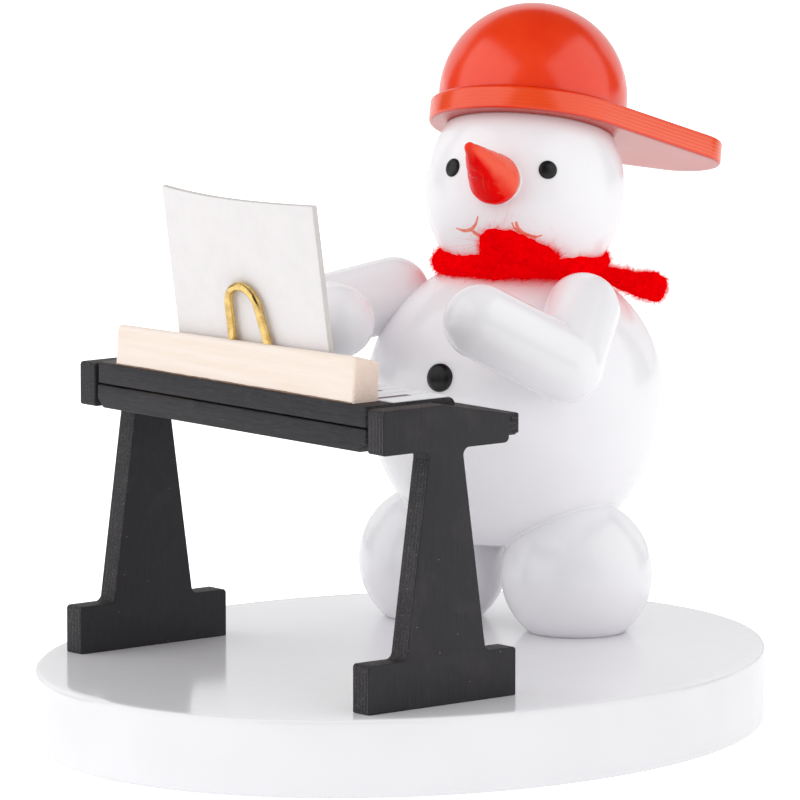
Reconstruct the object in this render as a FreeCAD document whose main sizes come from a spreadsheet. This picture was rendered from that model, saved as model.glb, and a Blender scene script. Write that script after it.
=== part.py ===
import FreeCAD, Part
import math
import os
import Sketcher

# Turned and painted wooden snowman at a keyboard, standing on an oval base.
# Millimetres, +Z up. The origin is the centre of the base's underside, X along
# the oval's short axis, Y along its long axis. The snowman faces -Y.

Vector = FreeCAD.Vector
Rotation = FreeCAD.Rotation
Placement = FreeCAD.Placement
X_AXIS, Y_AXIS, Z_AXIS = Vector(1, 0, 0), Vector(0, 1, 0), Vector(0, 0, 1)
BIG = 100.0         # side of the blocks that cut a piece along a plane
TOUCHING = 0.01     # an edge this close to a level lies on it

doc = FreeCAD.newDocument("Snowman")
sheet = doc.addObject("Spreadsheet::Sheet", "Dims")

DIMENSIONS = {
    # oval base
    "base_short_radius": 38.4, "base_long_radius": 46.7,
    "base_thick": 8.6, "base_round": 0.5,
    # ball feet, half sunk under the body
    "figure_x": -2.0, "foot_spread": 9.93, "foot_y": 23.65,
    "foot_radius": 8.53, "foot_height": 15.34,
    # egg-shaped body
    "body_y": 25.65, "body_radius": 17.1, "waist_height": 35.7,
    "chest_rise": 15.5, "belly_drop": 19.7,
    "body_floor": 19.2, "neck_height": 49.5,
    "dowel_radius": 2.0, "dowel_depth": 6.0, "cap_dowel_radius": 1.5, "cap_dowel_depth": 4.0,
    # belly button and eyes: domed pins
    "button_turn": 3.1, "button_rise": 11.1, "button_radius": 1.65, "button_dome": 0.8,
    "eye_radius": 1.08, "eye_dome": 0.42, "pin_radius": 0.4, "pin_length": 3.0,
    "eye_lift": 0.8, "eye_turn": 29.6,
    # head, tipped back and turned on the neck
    "head_x": -1.46, "head_y": 26.88, "head_centre": 58.7,
    "head_radius": 11.5, "head_rise": 12.4, "head_tip": 18.8, "head_turn": 16.4,
    "nose_drop": 7.3, "nose_side": 0.9, "nose_radius": 2.92, "nose_tip_radius": 0.6,
    "nose_reach": 9.5, "nose_proud": 1.2, "nose_rise": 28.0, "nose_turn": 15.0,
    "spigot_radius": 1.2, "spigot_length": 6.0,
    # cap: a flat brim with a visor, and a dome
    "cap_seat": 6.92, "cap_turn": 18.3, "brim_radius": 11.75, "brim_thick": 2.67,
    "brim_round": 0.35, "visor_reach": 19.3, "visor_radius": 5.68, "visor_turn": 44.6,
    "dome_radius": 10.88, "dome_wall": 1.36,
    # arms: round-ended rods, mitred and glued at the elbow
    "arm_radius": 4.28,
    "shoulder_x": 13.07, "shoulder_y": -5.7, "shoulder_height": 46.35,
    "elbow_left_x": 16.7, "elbow_left_y": -14.66, "elbow_left_height": 41.17,
    "elbow_right_x": -18.6, "elbow_right_y": -14.2, "elbow_right_height": 44.4,
    "hand_left_x": 9.6, "hand_left_y": -21.24, "hand_left_height": 46.35,
    "hand_right_x": -10.25, "hand_right_y": -21.1, "hand_right_height": 45.0,
    # felted wool scarf
    "scarf_ring": 8.75, "scarf_thick": 1.5, "scarf_height": 50.65,
    "scarf_x": -1.6, "scarf_y": 26.3,
    "knot_turn": 25.8, "knot_lift": 2.75, "knot_proud": 0.65,
    "knot_radius": 2.9, "knot_half_high": 2.3,
    "tail_turn": 124.5, "tail_start": 9.2, "tail_sag": 2.1, "tail_drop": 15.5,
    "tail_length": 6.9,
    # keyboard stand, in a frame of its own that is turned on the base
    "stand_turn": -16.2, "stand_mid": 2.5, "stand_span": 54.2, "side_thick": 2.8,
    "side_mid_right": -18.2, "side_mid_left": -18.75,
    "foot_back": -29.1, "foot_front": -8.3, "foot_rise": 5.4,
    "post_low": 11.2, "post_high": 4.65, "post_round": 0.8,
    "rail_back": -27.0, "rail_front": -9.3, "rail_low": 28.1, "rail_high": 33.0,
    "rail_nose_high": 31.3, "rail_taper": -18.4, "rail_round": 0.35,
    # boards
    "shelf_depth": 21.8, "shelf_thick": 2.6, "shelf_low": 28.1, "shelf_chamfer": 1.0,
    "board_depth": 12.7, "board_thick": 2.55, "board_round": 0.9, "board_relief": 0.6,
    "sheet_back": -23.0, "sheet_front": -15.1, "sheet_inset": 0.5, "sheet_thick": 0.12,
    # music holder
    "holder_left": -18.4, "holder_right": 23.9, "holder_back": -26.7, "holder_front": -23.0,
    "holder_left_high": 4.75, "holder_right_high": 5.35, "holder_fall": 1.1,
    "holder_round": 0.3, "holder_slant": 0.35,
    "slot_y": -24.9, "slot_wide": 1.1, "slot_deep": 1.9, "slot_length": 27.5,
    "card_mid": 4.55, "card_wide": 26.7, "card_high": 17.7, "card_thick": 0.7,
    "card_lean": 8.1, "card_bow": 1.6, "card_tongue": 1.5, "card_gap": 0.1,
    "wire_radius": 0.5, "wire_mid": 5.1, "wire_y": -25.97, "wire_half": 3.1,
    "wire_bend": 2.6, "wire_rise": 6.2, "wire_sunk": 2.6, "wire_lean": 13.5,
}

for row, (alias, value) in enumerate(DIMENSIONS.items(), start=1):
    sheet.set("A%d" % row, alias)
    sheet.set("B%d" % row, str(value))
    sheet.setAlias("B%d" % row, alias)
doc.recompute()


# ---------------------------------------------------------------- helpers

def size(expression):
    """Value of an expression on the sheet, where every alias starts with a dot."""
    value = sheet.evalExpression(linked(expression))
    return float(getattr(value, "Value", value))


def linked(expression):
    """'.alias' is short for 'Dims.alias'."""
    text = ""
    for index, letter in enumerate(expression):
        starts_alias = letter == "." and expression[index + 1:index + 2].isalpha()
        text += "Dims." if starts_alias else letter
    return text


def primitive(kind, name, placement=None, **expressions):
    """A Part primitive with its sizes bound to the sheet."""
    item = doc.addObject("Part::" + kind, name)
    for prop, expression in expressions.items():
        item.setExpression(prop, linked(expression))
    if placement:
        item.Placement = placement
    return item


def fuse(name, *shapes):
    item = doc.addObject("Part::MultiFuse", name)
    item.Shapes = list(shapes)
    item.Refine = True
    return item


def cut(name, base, *tools):
    """base without each of the tools, one after the other."""
    for index, tool in enumerate(tools, start=1):
        item = doc.addObject("Part::Cut", name if index == len(tools) else name + "_step")
        item.Base, item.Tool = base, tool
        base = item
    return base


def half_space(name, point, normal):
    """A large block on the far side of a plane, for cutting a piece off flat."""
    waste = primitive("Box", name)
    waste.Length = waste.Width = waste.Height = BIG
    turn = Rotation(Z_AXIS, normal)
    waste.Placement = Placement(point + turn.multVec(Vector(-BIG / 2, -BIG / 2, 0)), turn)
    return waste


def body(name):
    return doc.addObject("PartDesign::Body", name)


def sketch(owner, role, name, offset=None):
    """A sketch on one of its own body's origin planes."""
    plane = [p for p in owner.Origin.OriginFeatures if p.Role == role][0]
    item = owner.newObject("Sketcher::SketchObject", name)
    item.AttachmentSupport = [(plane, "")]
    item.MapMode = "FlatFace"
    if offset:
        item.AttachmentOffset = offset
    return item


def pin_point(item, geometry, end, across, up):
    """Hold one end of a curve at sheet coordinates."""
    for kind, expression in (("DistanceX", across), ("DistanceY", up)):
        value = size(expression)
        index = item.addConstraint(Sketcher.Constraint(kind, -1, 1, geometry, end, value))
        item.setExpression("Constraints[%d]" % index, linked(expression))


def outline(item, corners):
    """A closed polygon whose corners are pairs of sheet expressions."""
    points = [Vector(size(across), size(up), 0) for across, up in corners]
    lines = [Part.LineSegment(a, b) for a, b in zip(points, points[1:] + points[:1])]
    item.addGeometry(lines, False)
    for index, (across, up) in enumerate(corners):
        item.addConstraint(Sketcher.Constraint(
            "Coincident", index, 2, (index + 1) % len(corners), 1))
        pin_point(item, index, 1, across, up)


def pad(owner, profile, length, reverse=False, midplane=False):
    item = owner.newObject("PartDesign::Pad", profile.Name + "_pad")
    item.Profile = profile
    item.setExpression("Length", linked(length))
    item.Reversed = reverse
    item.Midplane = midplane
    doc.recompute()
    return item


def edges_where(shape, test):
    return ["Edge%d" % (i + 1) for i, edge in enumerate(shape.Edges) if test(edge)]


def dress(owner, kind, base, test, expression):
    """Fillet or chamfer the edges of the base feature that pass the test."""
    item = owner.newObject("PartDesign::" + kind, base.Name + "_" + kind.lower())
    item.Base = (base, edges_where(base.Shape, test))
    item.setExpression("Radius" if kind == "Fillet" else "Size", linked(expression))
    doc.recompute()
    return item


def direction(edge):
    if not isinstance(edge.Curve, Part.Line):
        return None
    return edge.Curve.Direction


def runs_along(edge, axis):
    heading = direction(edge)
    return heading is not None and abs(heading.dot(axis)) > 0.999


def aim(origin, heading):
    """Placement that takes local +Z to the heading."""
    return Placement(origin, Rotation(Z_AXIS, heading))


def heading(turn, rise):
    """Unit vector, turned from -Y towards +X and raised, in degrees."""
    turn, rise = math.radians(turn), math.radians(rise)
    flat = Vector(math.sin(turn), -math.cos(turn), 0)
    return flat * math.cos(rise) + Z_AXIS * math.sin(rise)


parts = []


def part(node, item):
    """Register a finished sub-part under its node name."""
    item.Label = node
    parts.append(item)
    return item


# ---------------------------------------------------------------- base

def make_base():
    oval = primitive("Ellipse", "base_oval", MajorRadius=".base_long_radius",
                     MinorRadius=".base_short_radius")
    oval.Placement = Placement(Vector(), Rotation(Z_AXIS, 90))
    disc = doc.addObject("Part::Extrusion", "base_disc")
    disc.Base, disc.DirMode, disc.Solid = oval, "Custom", True
    disc.Dir = Z_AXIS
    disc.setExpression("LengthFwd", linked(".base_thick"))
    doc.recompute()
    rounded = doc.addObject("Part::Fillet", "base_rounded")
    rounded.Base = disc
    radius = size(".base_round")
    rims = [i + 1 for i, e in enumerate(disc.Shape.Edges) if e.isClosed()]
    rounded.Edges = [(index, radius, radius) for index in rims]
    return part("base_plate", rounded)


# ---------------------------------------------------------------- body, feet, head

def make_body():
    """Egg with a flat crown under the neck and a flat floor between the feet."""
    waist = Placement(Vector(size(".figure_x"), size(".body_y"), size(".waist_height")),
                      Rotation())
    chest = primitive("Ellipsoid", "chest", waist, Radius1=".chest_rise",
                      Radius2=".body_radius", Angle1="0 deg",
                      Angle2="asin((.neck_height - .waist_height) / .chest_rise)")
    belly = primitive("Ellipsoid", "belly", waist, Radius1=".belly_drop",
                      Radius2=".body_radius", Angle2="0 deg",
                      Angle1="-asin((.waist_height - .body_floor) / .belly_drop)")
    return fuse("torso", chest, belly)


def make_foot(side, sign, torso):
    place = Vector(size(".figure_x") + sign * size(".foot_spread"),
                   size(".foot_y"), size(".foot_height"))
    ball = primitive("Sphere", "foot_ball_" + side, Placement(place, Rotation()),
                     Radius=".foot_radius", Angle2="90 deg",
                     Angle1="-asin((.foot_height - .base_thick) / .foot_radius)")
    return part("foot_" + side, cut("foot_cup_" + side, ball, torso))


def head_frame():
    """Head centre, polar axis and the placement that holds the head's own Z."""
    centre = Vector(size(".head_x"), size(".head_y"), size(".head_centre"))
    axis = heading(size(".cap_turn"), 0) * -math.sin(math.radians(size(".head_tip")))
    axis = axis + Z_AXIS * math.cos(math.radians(size(".head_tip")))
    return centre, axis, aim(centre, axis)


def face_heading(turn, lift):
    """Direction from the head's centre, given on the tipped head itself."""
    axis = head_frame()[1]
    ahead = heading(size(".head_turn"), 0)
    ahead = (ahead - axis * ahead.dot(axis)).normalize()
    aside = axis.cross(ahead)
    turn, lift = math.radians(turn), math.radians(lift)
    flat = ahead * math.cos(turn) + aside * math.sin(turn)
    return flat * math.cos(lift) + axis * math.sin(lift)


def egg_reach(ray, axis, radius, rise):
    """Distance from an ellipsoid's centre to its surface along a ray."""
    along = ray.dot(axis)
    return 1 / math.sqrt((1 - along ** 2) / radius ** 2 + along ** 2 / rise ** 2)


def egg_normal(ray, axis, radius, rise):
    along = ray.dot(axis)
    return ((ray - axis * along) * (1 / radius ** 2) + axis * (along / rise ** 2)).normalize()


def make_pin(node, origin, normal, radius, dome):
    """Round-headed pin: a shallow dome on the surface and a shank behind it."""
    seat = aim(origin, normal)
    cap = primitive("Ellipsoid", node + "_dome", seat, Radius1=dome, Radius2=radius)
    shank = primitive("Cylinder", node + "_shank",
                      aim(origin - normal * size(".pin_length"), normal),
                      Radius=".pin_radius", Height=".pin_length")
    return part(node, fuse(node + "_pin", cap, shank))


def make_eye(node, sign):
    centre, axis, _ = head_frame()
    ray = face_heading(sign * size(".eye_turn"), size(".eye_lift"))
    sizes = (axis, size(".head_radius"), size(".head_rise"))
    origin = centre + ray * egg_reach(ray, *sizes)
    return make_pin(node, origin, egg_normal(ray, *sizes), ".eye_radius", ".eye_dome")


def make_button():
    centre = Vector(size(".figure_x"), size(".body_y"), size(".waist_height"))
    ray = heading(size(".button_turn"), size(".button_rise"))
    sizes = (Z_AXIS, size(".body_radius"), size(".chest_rise"))
    origin = centre + ray * egg_reach(ray, *sizes)
    return make_pin("belly_button", origin, egg_normal(ray, *sizes),
                    ".button_radius", ".button_dome")


def make_nose():
    """Carrot: a ball drawn out to a small round tip, with a spigot behind it."""
    centre, axis, _ = head_frame()
    ray = face_heading(size(".nose_side"), -size(".nose_drop"))
    reach = egg_reach(ray, axis, size(".head_radius"), size(".head_rise"))
    start = centre + ray * (reach + size(".nose_proud"))
    along = heading(size(".nose_turn"), size(".nose_rise"))
    seat = aim(start, along)
    # the cone touches both balls, so its ends sit at this slope on each of them
    slope = "asin((.nose_radius - .nose_tip_radius) / .nose_reach)"
    bulb = primitive("Sphere", "nose_bulb", seat, Radius=".nose_radius")
    tip = primitive("Sphere", "nose_tip", aim(start + along * size(".nose_reach"), along),
                    Radius=".nose_tip_radius")
    lift = size(".nose_radius * sin(%s)" % slope)
    flank = primitive(
        "Cone", "nose_flank", aim(start + along * lift, along),
        Radius1=".nose_radius * cos(%s)" % slope,
        Radius2=".nose_tip_radius * cos(%s)" % slope,
        Height=".nose_reach - (.nose_radius - .nose_tip_radius) * sin(%s)" % slope)
    spigot = primitive("Cylinder", "nose_spigot",
                       aim(start - ray * size(".spigot_length"), ray),
                       Radius=".spigot_radius", Height=".spigot_length")
    return part("nose", fuse("carrot", bulb, flank, tip, spigot))


def make_head(torso, pins):
    centre, axis, seat = head_frame()
    egg = primitive("Ellipsoid", "head_egg", seat, Radius1=".head_rise",
                    Radius2=".head_radius", Angle1="-90 deg",
                    Angle2="asin(.cap_seat / .head_rise)")
    neck = Vector(centre.x, centre.y, size(".neck_height"))
    below = half_space("below_neck", neck, Z_AXIS * -1)
    return part("head", cut("head_turned", egg, below, *pins))


def make_neck_dowel():
    centre = head_frame()[0]
    place = Vector((size(".figure_x") + centre.x) / 2, (size(".body_y") + centre.y) / 2,
                   size(".neck_height - .dowel_depth"))
    dowel = primitive("Cylinder", "neck_pin", Placement(place, Rotation()),
                      Radius=".dowel_radius", Height="2 * .dowel_depth")
    return part("neck_dowel", dowel)


def make_cap_dowel():
    centre, axis, _ = head_frame()
    start = centre + axis * size(".cap_seat - .cap_dowel_depth")
    dowel = primitive("Cylinder", "cap_pin", aim(start, axis), Radius=".cap_dowel_radius",
                      Height="2 * .cap_dowel_depth + .brim_thick")
    return part("cap_dowel", dowel)


# ---------------------------------------------------------------- cap

def make_brim(dowel):
    """Flat plate: the head's round and a small visor round joined by tangents."""
    plate = body("cap_plate")
    profile = sketch(plate, "XY_Plane", "brim_outline")
    head_round, visor_round, reach = (size(".brim_radius"), size(".visor_radius"),
                                      size(".visor_reach"))
    lean = math.acos((head_round - visor_round) / reach)
    far = Vector(reach, 0, 0)

    def on_round(centre, radius, angle):
        return centre + Vector(math.cos(angle), math.sin(angle), 0) * radius

    head_arc = Part.ArcOfCircle(Part.Circle(Vector(), Z_AXIS, head_round),
                                lean, 2 * math.pi - lean)
    visor_arc = Part.ArcOfCircle(Part.Circle(far, Z_AXIS, visor_round), -lean, lean)
    upper = Part.LineSegment(on_round(far, visor_round, lean),
                             on_round(Vector(), head_round, lean))
    lower = Part.LineSegment(on_round(Vector(), head_round, -lean),
                             on_round(far, visor_round, -lean))
    profile.addGeometry([head_arc, visor_arc, upper, lower], False)
    for first, first_end, second, second_end in ((1, 2, 2, 1), (2, 2, 0, 1),
                                                 (0, 2, 3, 1), (3, 2, 1, 1)):
        profile.addConstraint(Sketcher.Constraint("Tangent", first, first_end,
                                                  second, second_end))
    profile.addConstraint(Sketcher.Constraint("Coincident", 0, 3, -1, 1))
    profile.addConstraint(Sketcher.Constraint("PointOnObject", 1, 3, -1))
    for geometry, alias in ((0, ".brim_radius"), (1, ".visor_radius")):
        index = profile.addConstraint(Sketcher.Constraint("Radius", geometry, size(alias)))
        profile.setExpression("Constraints[%d]" % index, linked(alias))
    index = profile.addConstraint(Sketcher.Constraint("DistanceX", -1, 1, 1, 3, reach))
    profile.setExpression("Constraints[%d]" % index, linked(".visor_reach"))
    slab = pad(plate, profile, ".brim_thick")
    dress(plate, "Fillet", slab, lambda edge: not runs_along(edge, Z_AXIS), ".brim_round")

    centre, axis, _ = head_frame()
    back = heading(size(".cap_turn"), 0) * -1
    back = (back - axis * back.dot(axis)).normalize()
    side = back.cross(axis) * -1
    turn = math.radians(size(".visor_turn"))
    ahead = back * math.cos(turn) - side * math.sin(turn)
    frame = FreeCAD.Matrix()
    for column, vector in enumerate((ahead, axis.cross(ahead), axis), start=1):
        setattr(frame, "A1%d" % column, vector.x)
        setattr(frame, "A2%d" % column, vector.y)
        setattr(frame, "A3%d" % column, vector.z)
    plate.Placement = Placement(centre + axis * size(".cap_seat"), Rotation(frame))
    return part("cap_brim", cut("brim_drilled", plate, dowel))


def make_dome(dowel):
    centre, axis, _ = head_frame()
    base = centre + axis * size(".cap_seat + .brim_thick")
    wall = primitive("Cylinder", "dome_wall_ring", aim(base, axis),
                     Radius=".dome_radius", Height=".dome_wall")
    crown = primitive("Sphere", "dome_crown", aim(base + axis * size(".dome_wall"), axis),
                      Radius=".dome_radius", Angle1="0 deg", Angle2="90 deg")
    return part("cap_dome", cut("dome_drilled", fuse("dome_turned", wall, crown), dowel))


# ---------------------------------------------------------------- arms

def arm_point(name, sign=1):
    """A joint of the arm, placed from the body's axis."""
    if name == "shoulder":
        return Vector(size(".figure_x") + sign * size(".shoulder_x"),
                      size(".body_y + .shoulder_y"), size(".shoulder_height"))
    return Vector(size(".figure_x + .%s_x" % name), size(".body_y + .%s_y" % name),
                  size(".%s_height" % name))


def make_rod(name, start, end, mitre_at, mitre_normal):
    """Round-ended rod, cut off beyond the mitre plane through one of its ends."""
    run = end - start
    seat = aim(start, run)
    stick = primitive("Cylinder", name + "_stick", seat, Radius=".arm_radius")
    stick.Height = run.Length
    near = primitive("Sphere", name + "_near", seat, Radius=".arm_radius")
    far = primitive("Sphere", name + "_far", aim(end, run), Radius=".arm_radius")
    whole = fuse(name + "_rod", stick, near, far)
    waste = half_space(name + "_waste", mitre_at, mitre_normal)
    return cut(name + "_mitred", whole, waste)


def make_arm(side, sign, torso):
    shoulder = arm_point("shoulder", sign)
    elbow = arm_point("elbow_" + side)
    hand = arm_point("hand_" + side)
    down, out = (elbow - shoulder).normalize(), (hand - elbow).normalize()
    mitre = (down + out).normalize()
    upper = make_rod("upper_" + side, shoulder, elbow, elbow, mitre)
    part("upper_arm_" + side, cut("upper_seated_" + side, upper, torso))
    part("forearm_" + side, make_rod("fore_" + side, elbow, hand, elbow, mitre * -1))


# ---------------------------------------------------------------- scarf

def make_scarf(torso, head):
    """One strand of felted wool: round the neck, a lump in front, a loose end."""
    middle = Vector(size(".scarf_x"), size(".scarf_y"), size(".scarf_height"))
    ring = primitive("Torus", "scarf_ring", Placement(middle, Rotation()),
                     Radius1=".scarf_ring", Radius2=".scarf_thick")
    loop = part("scarf_loop", cut("scarf_wound", ring, torso, head))
    front = heading(size(".knot_turn"), 0)
    lump = primitive("Ellipsoid", "scarf_lump",
                     Placement(middle + front * size(".scarf_ring + .knot_proud")
                               + Z_AXIS * size(".knot_lift"), Rotation()),
                     Radius1=".knot_half_high", Radius2=".knot_radius")
    part("scarf_knot", cut("scarf_tied", lump, torso, head, loop))
    begin = middle + heading(size(".tail_turn"), 0) * size(".tail_start")
    begin = begin - Z_AXIS * size(".tail_sag")
    away = heading(size(".tail_turn"), -size(".tail_drop"))
    strand = primitive("Cylinder", "scarf_strand", aim(begin, away),
                       Radius=".scarf_thick", Height=".tail_length")
    tip = primitive("Sphere", "scarf_tip", aim(begin + away * size(".tail_length"), away),
                    Radius=".scarf_thick")
    part("scarf_tail", cut("scarf_end", fuse("scarf_hanging", strand, tip), loop, torso))


# ---------------------------------------------------------------- keyboard stand

STAND = Placement(Vector(), Rotation(Z_AXIS, size(".stand_turn")))


def make_side(side, outer):
    """I-shaped side: a foot, a tapering post and a rail that tapers at its nose."""
    plate = body("stand_plate_" + side)
    profile = sketch(plate, "YZ_Plane", "side_outline_" + side)
    foot_top = ".base_thick + .foot_rise"
    rail_low = ".base_thick + .rail_low"
    rail_high = ".base_thick + .rail_high"
    middle = ".side_mid_" + side
    outline(profile, [
        (".foot_back", ".base_thick"), (".foot_front", ".base_thick"),
        (".foot_front", foot_top), (middle + " + .post_low / 2", foot_top),
        (middle + " + .post_high / 2", rail_low), (".rail_front", rail_low),
        (".rail_front", ".base_thick + .rail_nose_high"), (".rail_taper", rail_high),
        (".rail_back", rail_high), (".rail_back", rail_low),
        (middle + " - .post_high / 2", rail_low), (middle + " - .post_low / 2", foot_top),
        (".foot_back", foot_top)])
    slab = pad(plate, profile, ".side_thick", reverse=outer)
    levels = (size(foot_top), size(rail_low))
    reach = size(".post_low") / 2 + TOUCHING

    def at_post(edge):
        place = edge.CenterOfMass
        inside = abs(place.y - size(middle)) < reach
        return runs_along(edge, X_AXIS) and inside and min(
            abs(place.z - level) for level in levels) < TOUCHING

    def at_nose(edge):
        place = edge.CenterOfMass
        return runs_along(edge, X_AXIS) and abs(
            place.y - size(".rail_front")) < TOUCHING

    rounded = dress(plate, "Fillet", slab, at_post, ".post_round")
    dress(plate, "Fillet", rounded, at_nose, ".rail_round")
    sign = 1 if outer else -1
    place = Vector(size(".stand_mid") + sign * size(".stand_span") / 2, 0, 0)
    plate.Placement = STAND.multiply(Placement(place, Rotation()))
    return part("stand_side_" + side, plate)


def make_board(node, low, depth, thick):
    """A board between the two sides, its back flush with the rails' backs."""
    board = body(node + "_plank")
    profile = sketch(board, "YZ_Plane", node + "_end")
    top = low + " + " + thick
    front = ".rail_back + " + depth
    outline(profile, [(".rail_back", low), (front, low), (front, top), (".rail_back", top)])
    slab = pad(board, profile, ".stand_span - 2 * .side_thick", midplane=True)
    board.Placement = STAND.multiply(Placement(Vector(size(".stand_mid"), 0, 0), Rotation()))
    return board, slab


def make_shelf():
    low = ".base_thick + .shelf_low"
    board, slab = make_board("shelf", low, ".shelf_depth", ".shelf_thick")
    level = size(low)

    def end_arris(edge):
        return runs_along(edge, Y_AXIS) and abs(
            edge.CenterOfMass.z - level) < TOUCHING

    dress(board, "Chamfer", slab, end_arris, ".shelf_chamfer")
    return part("shelf_board", board)


def make_keyboard():
    low = ".base_thick + .shelf_low + .shelf_thick"
    board, slab = make_board("keyboard", low, ".board_depth", ".board_thick")
    top, front = size(low + " + .board_thick"), size(".rail_back + .board_depth")

    def front_arris(edge):
        place = edge.CenterOfMass
        return runs_along(edge, X_AXIS) and abs(place.z - top) < TOUCHING and abs(
            place.y - front) < TOUCHING

    rounded = dress(board, "Fillet", slab, front_arris, ".board_round")

    def rear_corner(edge):
        return runs_along(edge, Z_AXIS) and abs(
            edge.CenterOfMass.y - size(".rail_back")) < TOUCHING

    dress(board, "Chamfer", rounded, rear_corner, ".board_relief")
    return part("keyboard_body", board)


BOARD_TOP = ".base_thick + .shelf_low + .shelf_thick + .board_thick"


def make_key_sheet():
    """The printed paper strip of keys, glued on the board."""
    strip = body("paper_strip")
    profile = sketch(strip, "XY_Plane", "paper_outline",
                     Placement(Vector(0, 0, size(BOARD_TOP)), Rotation()))
    profile.setExpression("AttachmentOffset.Base.z", linked(BOARD_TOP))
    half = ".stand_span / 2 - .side_thick - .sheet_inset"
    outline(profile, [("-(%s)" % half, ".sheet_back"), (half, ".sheet_back"),
                      (half, ".sheet_front"), ("-(%s)" % half, ".sheet_front")])
    pad(strip, profile, ".sheet_thick")
    strip.Placement = STAND.multiply(Placement(Vector(size(".stand_mid"), 0, 0), Rotation()))
    return part("key_sheet", strip)


# ---------------------------------------------------------------- music holder

def make_wire():
    """Brass arch: two legs that lean together into a round bend."""
    half, bend = size(".wire_half"), size(".wire_bend")
    centre = Vector(0, size(".wire_rise - .wire_bend"), 0)
    foot = Vector(half, 0, 0)
    span = (foot - centre).Length
    sweep = math.atan2(foot.y - centre.y, foot.x - centre.x) + math.acos(bend / span)
    touch = centre + Vector(math.cos(sweep), math.sin(sweep), 0) * bend
    sunk = foot + (foot - touch).normalize() * size(".wire_sunk")

    def mirrored(point):
        return Vector(-point.x, point.y, 0)

    def upright(point):
        return Vector(point.x, 0, point.y)

    top = centre + Vector(0, bend, 0)
    path = Part.Wire([
        Part.LineSegment(upright(mirrored(sunk)), upright(mirrored(touch))).toShape(),
        Part.Arc(upright(mirrored(touch)), upright(top), upright(touch)).toShape(),
        Part.LineSegment(upright(touch), upright(sunk)).toShape()])
    start = upright(mirrored(sunk))
    ring = Part.Wire(Part.makeCircle(size(".wire_radius"), start,
                                     upright(mirrored(touch)) - start))
    item = doc.addObject("Part::Feature", "arch")
    item.Shape = path.makePipeShell([ring], True, True)
    level = size(BOARD_TOP + " + (.holder_left_high + .holder_right_high) / 2")
    item.Placement = Placement(Vector(size(".wire_mid"), size(".wire_y"), level),
                               Rotation(X_AXIS, size(".wire_lean")))
    placed = doc.addObject("Part::Compound", "arch_placed")
    placed.Links = [item]
    placed.Placement = STAND
    part("wire_loop", placed)
    return item


def card_frame():
    """Placement of the card's own frame: X along it, Z up its lean, from the slot's floor."""
    level = size(BOARD_TOP + " + .holder_right_high - .slot_deep + .card_gap")
    lean = math.radians(size(".card_lean"))
    slide = size(".slot_deep") * math.tan(lean)
    place = Vector(size(".card_mid"), size(".slot_y") + slide, level)
    return Placement(place, Rotation(X_AXIS, size(".card_lean")))


def make_holder(wire):
    """Hand-cut block: its top falls towards the player, with a slot and two wire holes."""
    block = body("holder_block")
    profile = sketch(block, "XZ_Plane", "holder_face",
                     Placement(Vector(0, 0, -size(".holder_front")), Rotation()))
    profile.setExpression("AttachmentOffset.Base.z", linked("-.holder_front"))
    low, top = BOARD_TOP, BOARD_TOP + " + .holder_right_high"
    outline(profile, [(".holder_left", low), (".holder_right", low),
                      (".holder_right + .holder_slant", top),
                      (".holder_left + .holder_slant", top)])
    pad(block, profile, ".holder_front - .holder_back")
    corners = [Vector(size(across), size(along), size(BOARD_TOP + " + " + high))
               for across, along, high in (
                   (".holder_left", ".holder_back", ".holder_left_high"),
                   (".holder_right", ".holder_back", ".holder_right_high"),
                   (".holder_right", ".holder_front", ".holder_right_high - .holder_fall"))]
    slope = (corners[2] - corners[1]).cross(corners[0] - corners[1]).normalize()
    if slope.z < 0:
        slope = slope * -1
    planed = cut("holder_planed", block, half_space("holder_shavings", corners[1], slope))
    doc.recompute()
    middle = size(low + " + .holder_left_high / 2")
    depth = size(".holder_front - .holder_back")
    radius = size(".holder_round")
    long_top_edges = [index for index, edge in enumerate(planed.Shape.Edges, start=1)
                      if edge.Length > 2 * depth and edge.CenterOfMass.z > middle]
    eased = doc.addObject("Part::Fillet", "holder_eased")
    eased.Base = planed
    eased.Edges = [(index, radius, radius) for index in long_top_edges]
    doc.recompute()

    slot = primitive("Box", "card_slot", Length=".slot_length", Width=".slot_wide",
                     Height="3 * .slot_deep")
    shift = Placement(Vector(-size(".slot_length") / 2, -size(".slot_wide") / 2,
                             -size(".card_gap")), Rotation())
    slot.Placement = card_frame().multiply(shift)
    holder = cut("holder_slotted", eased, slot, wire)
    holder.Placement = STAND
    return part("music_block", holder)


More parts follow.
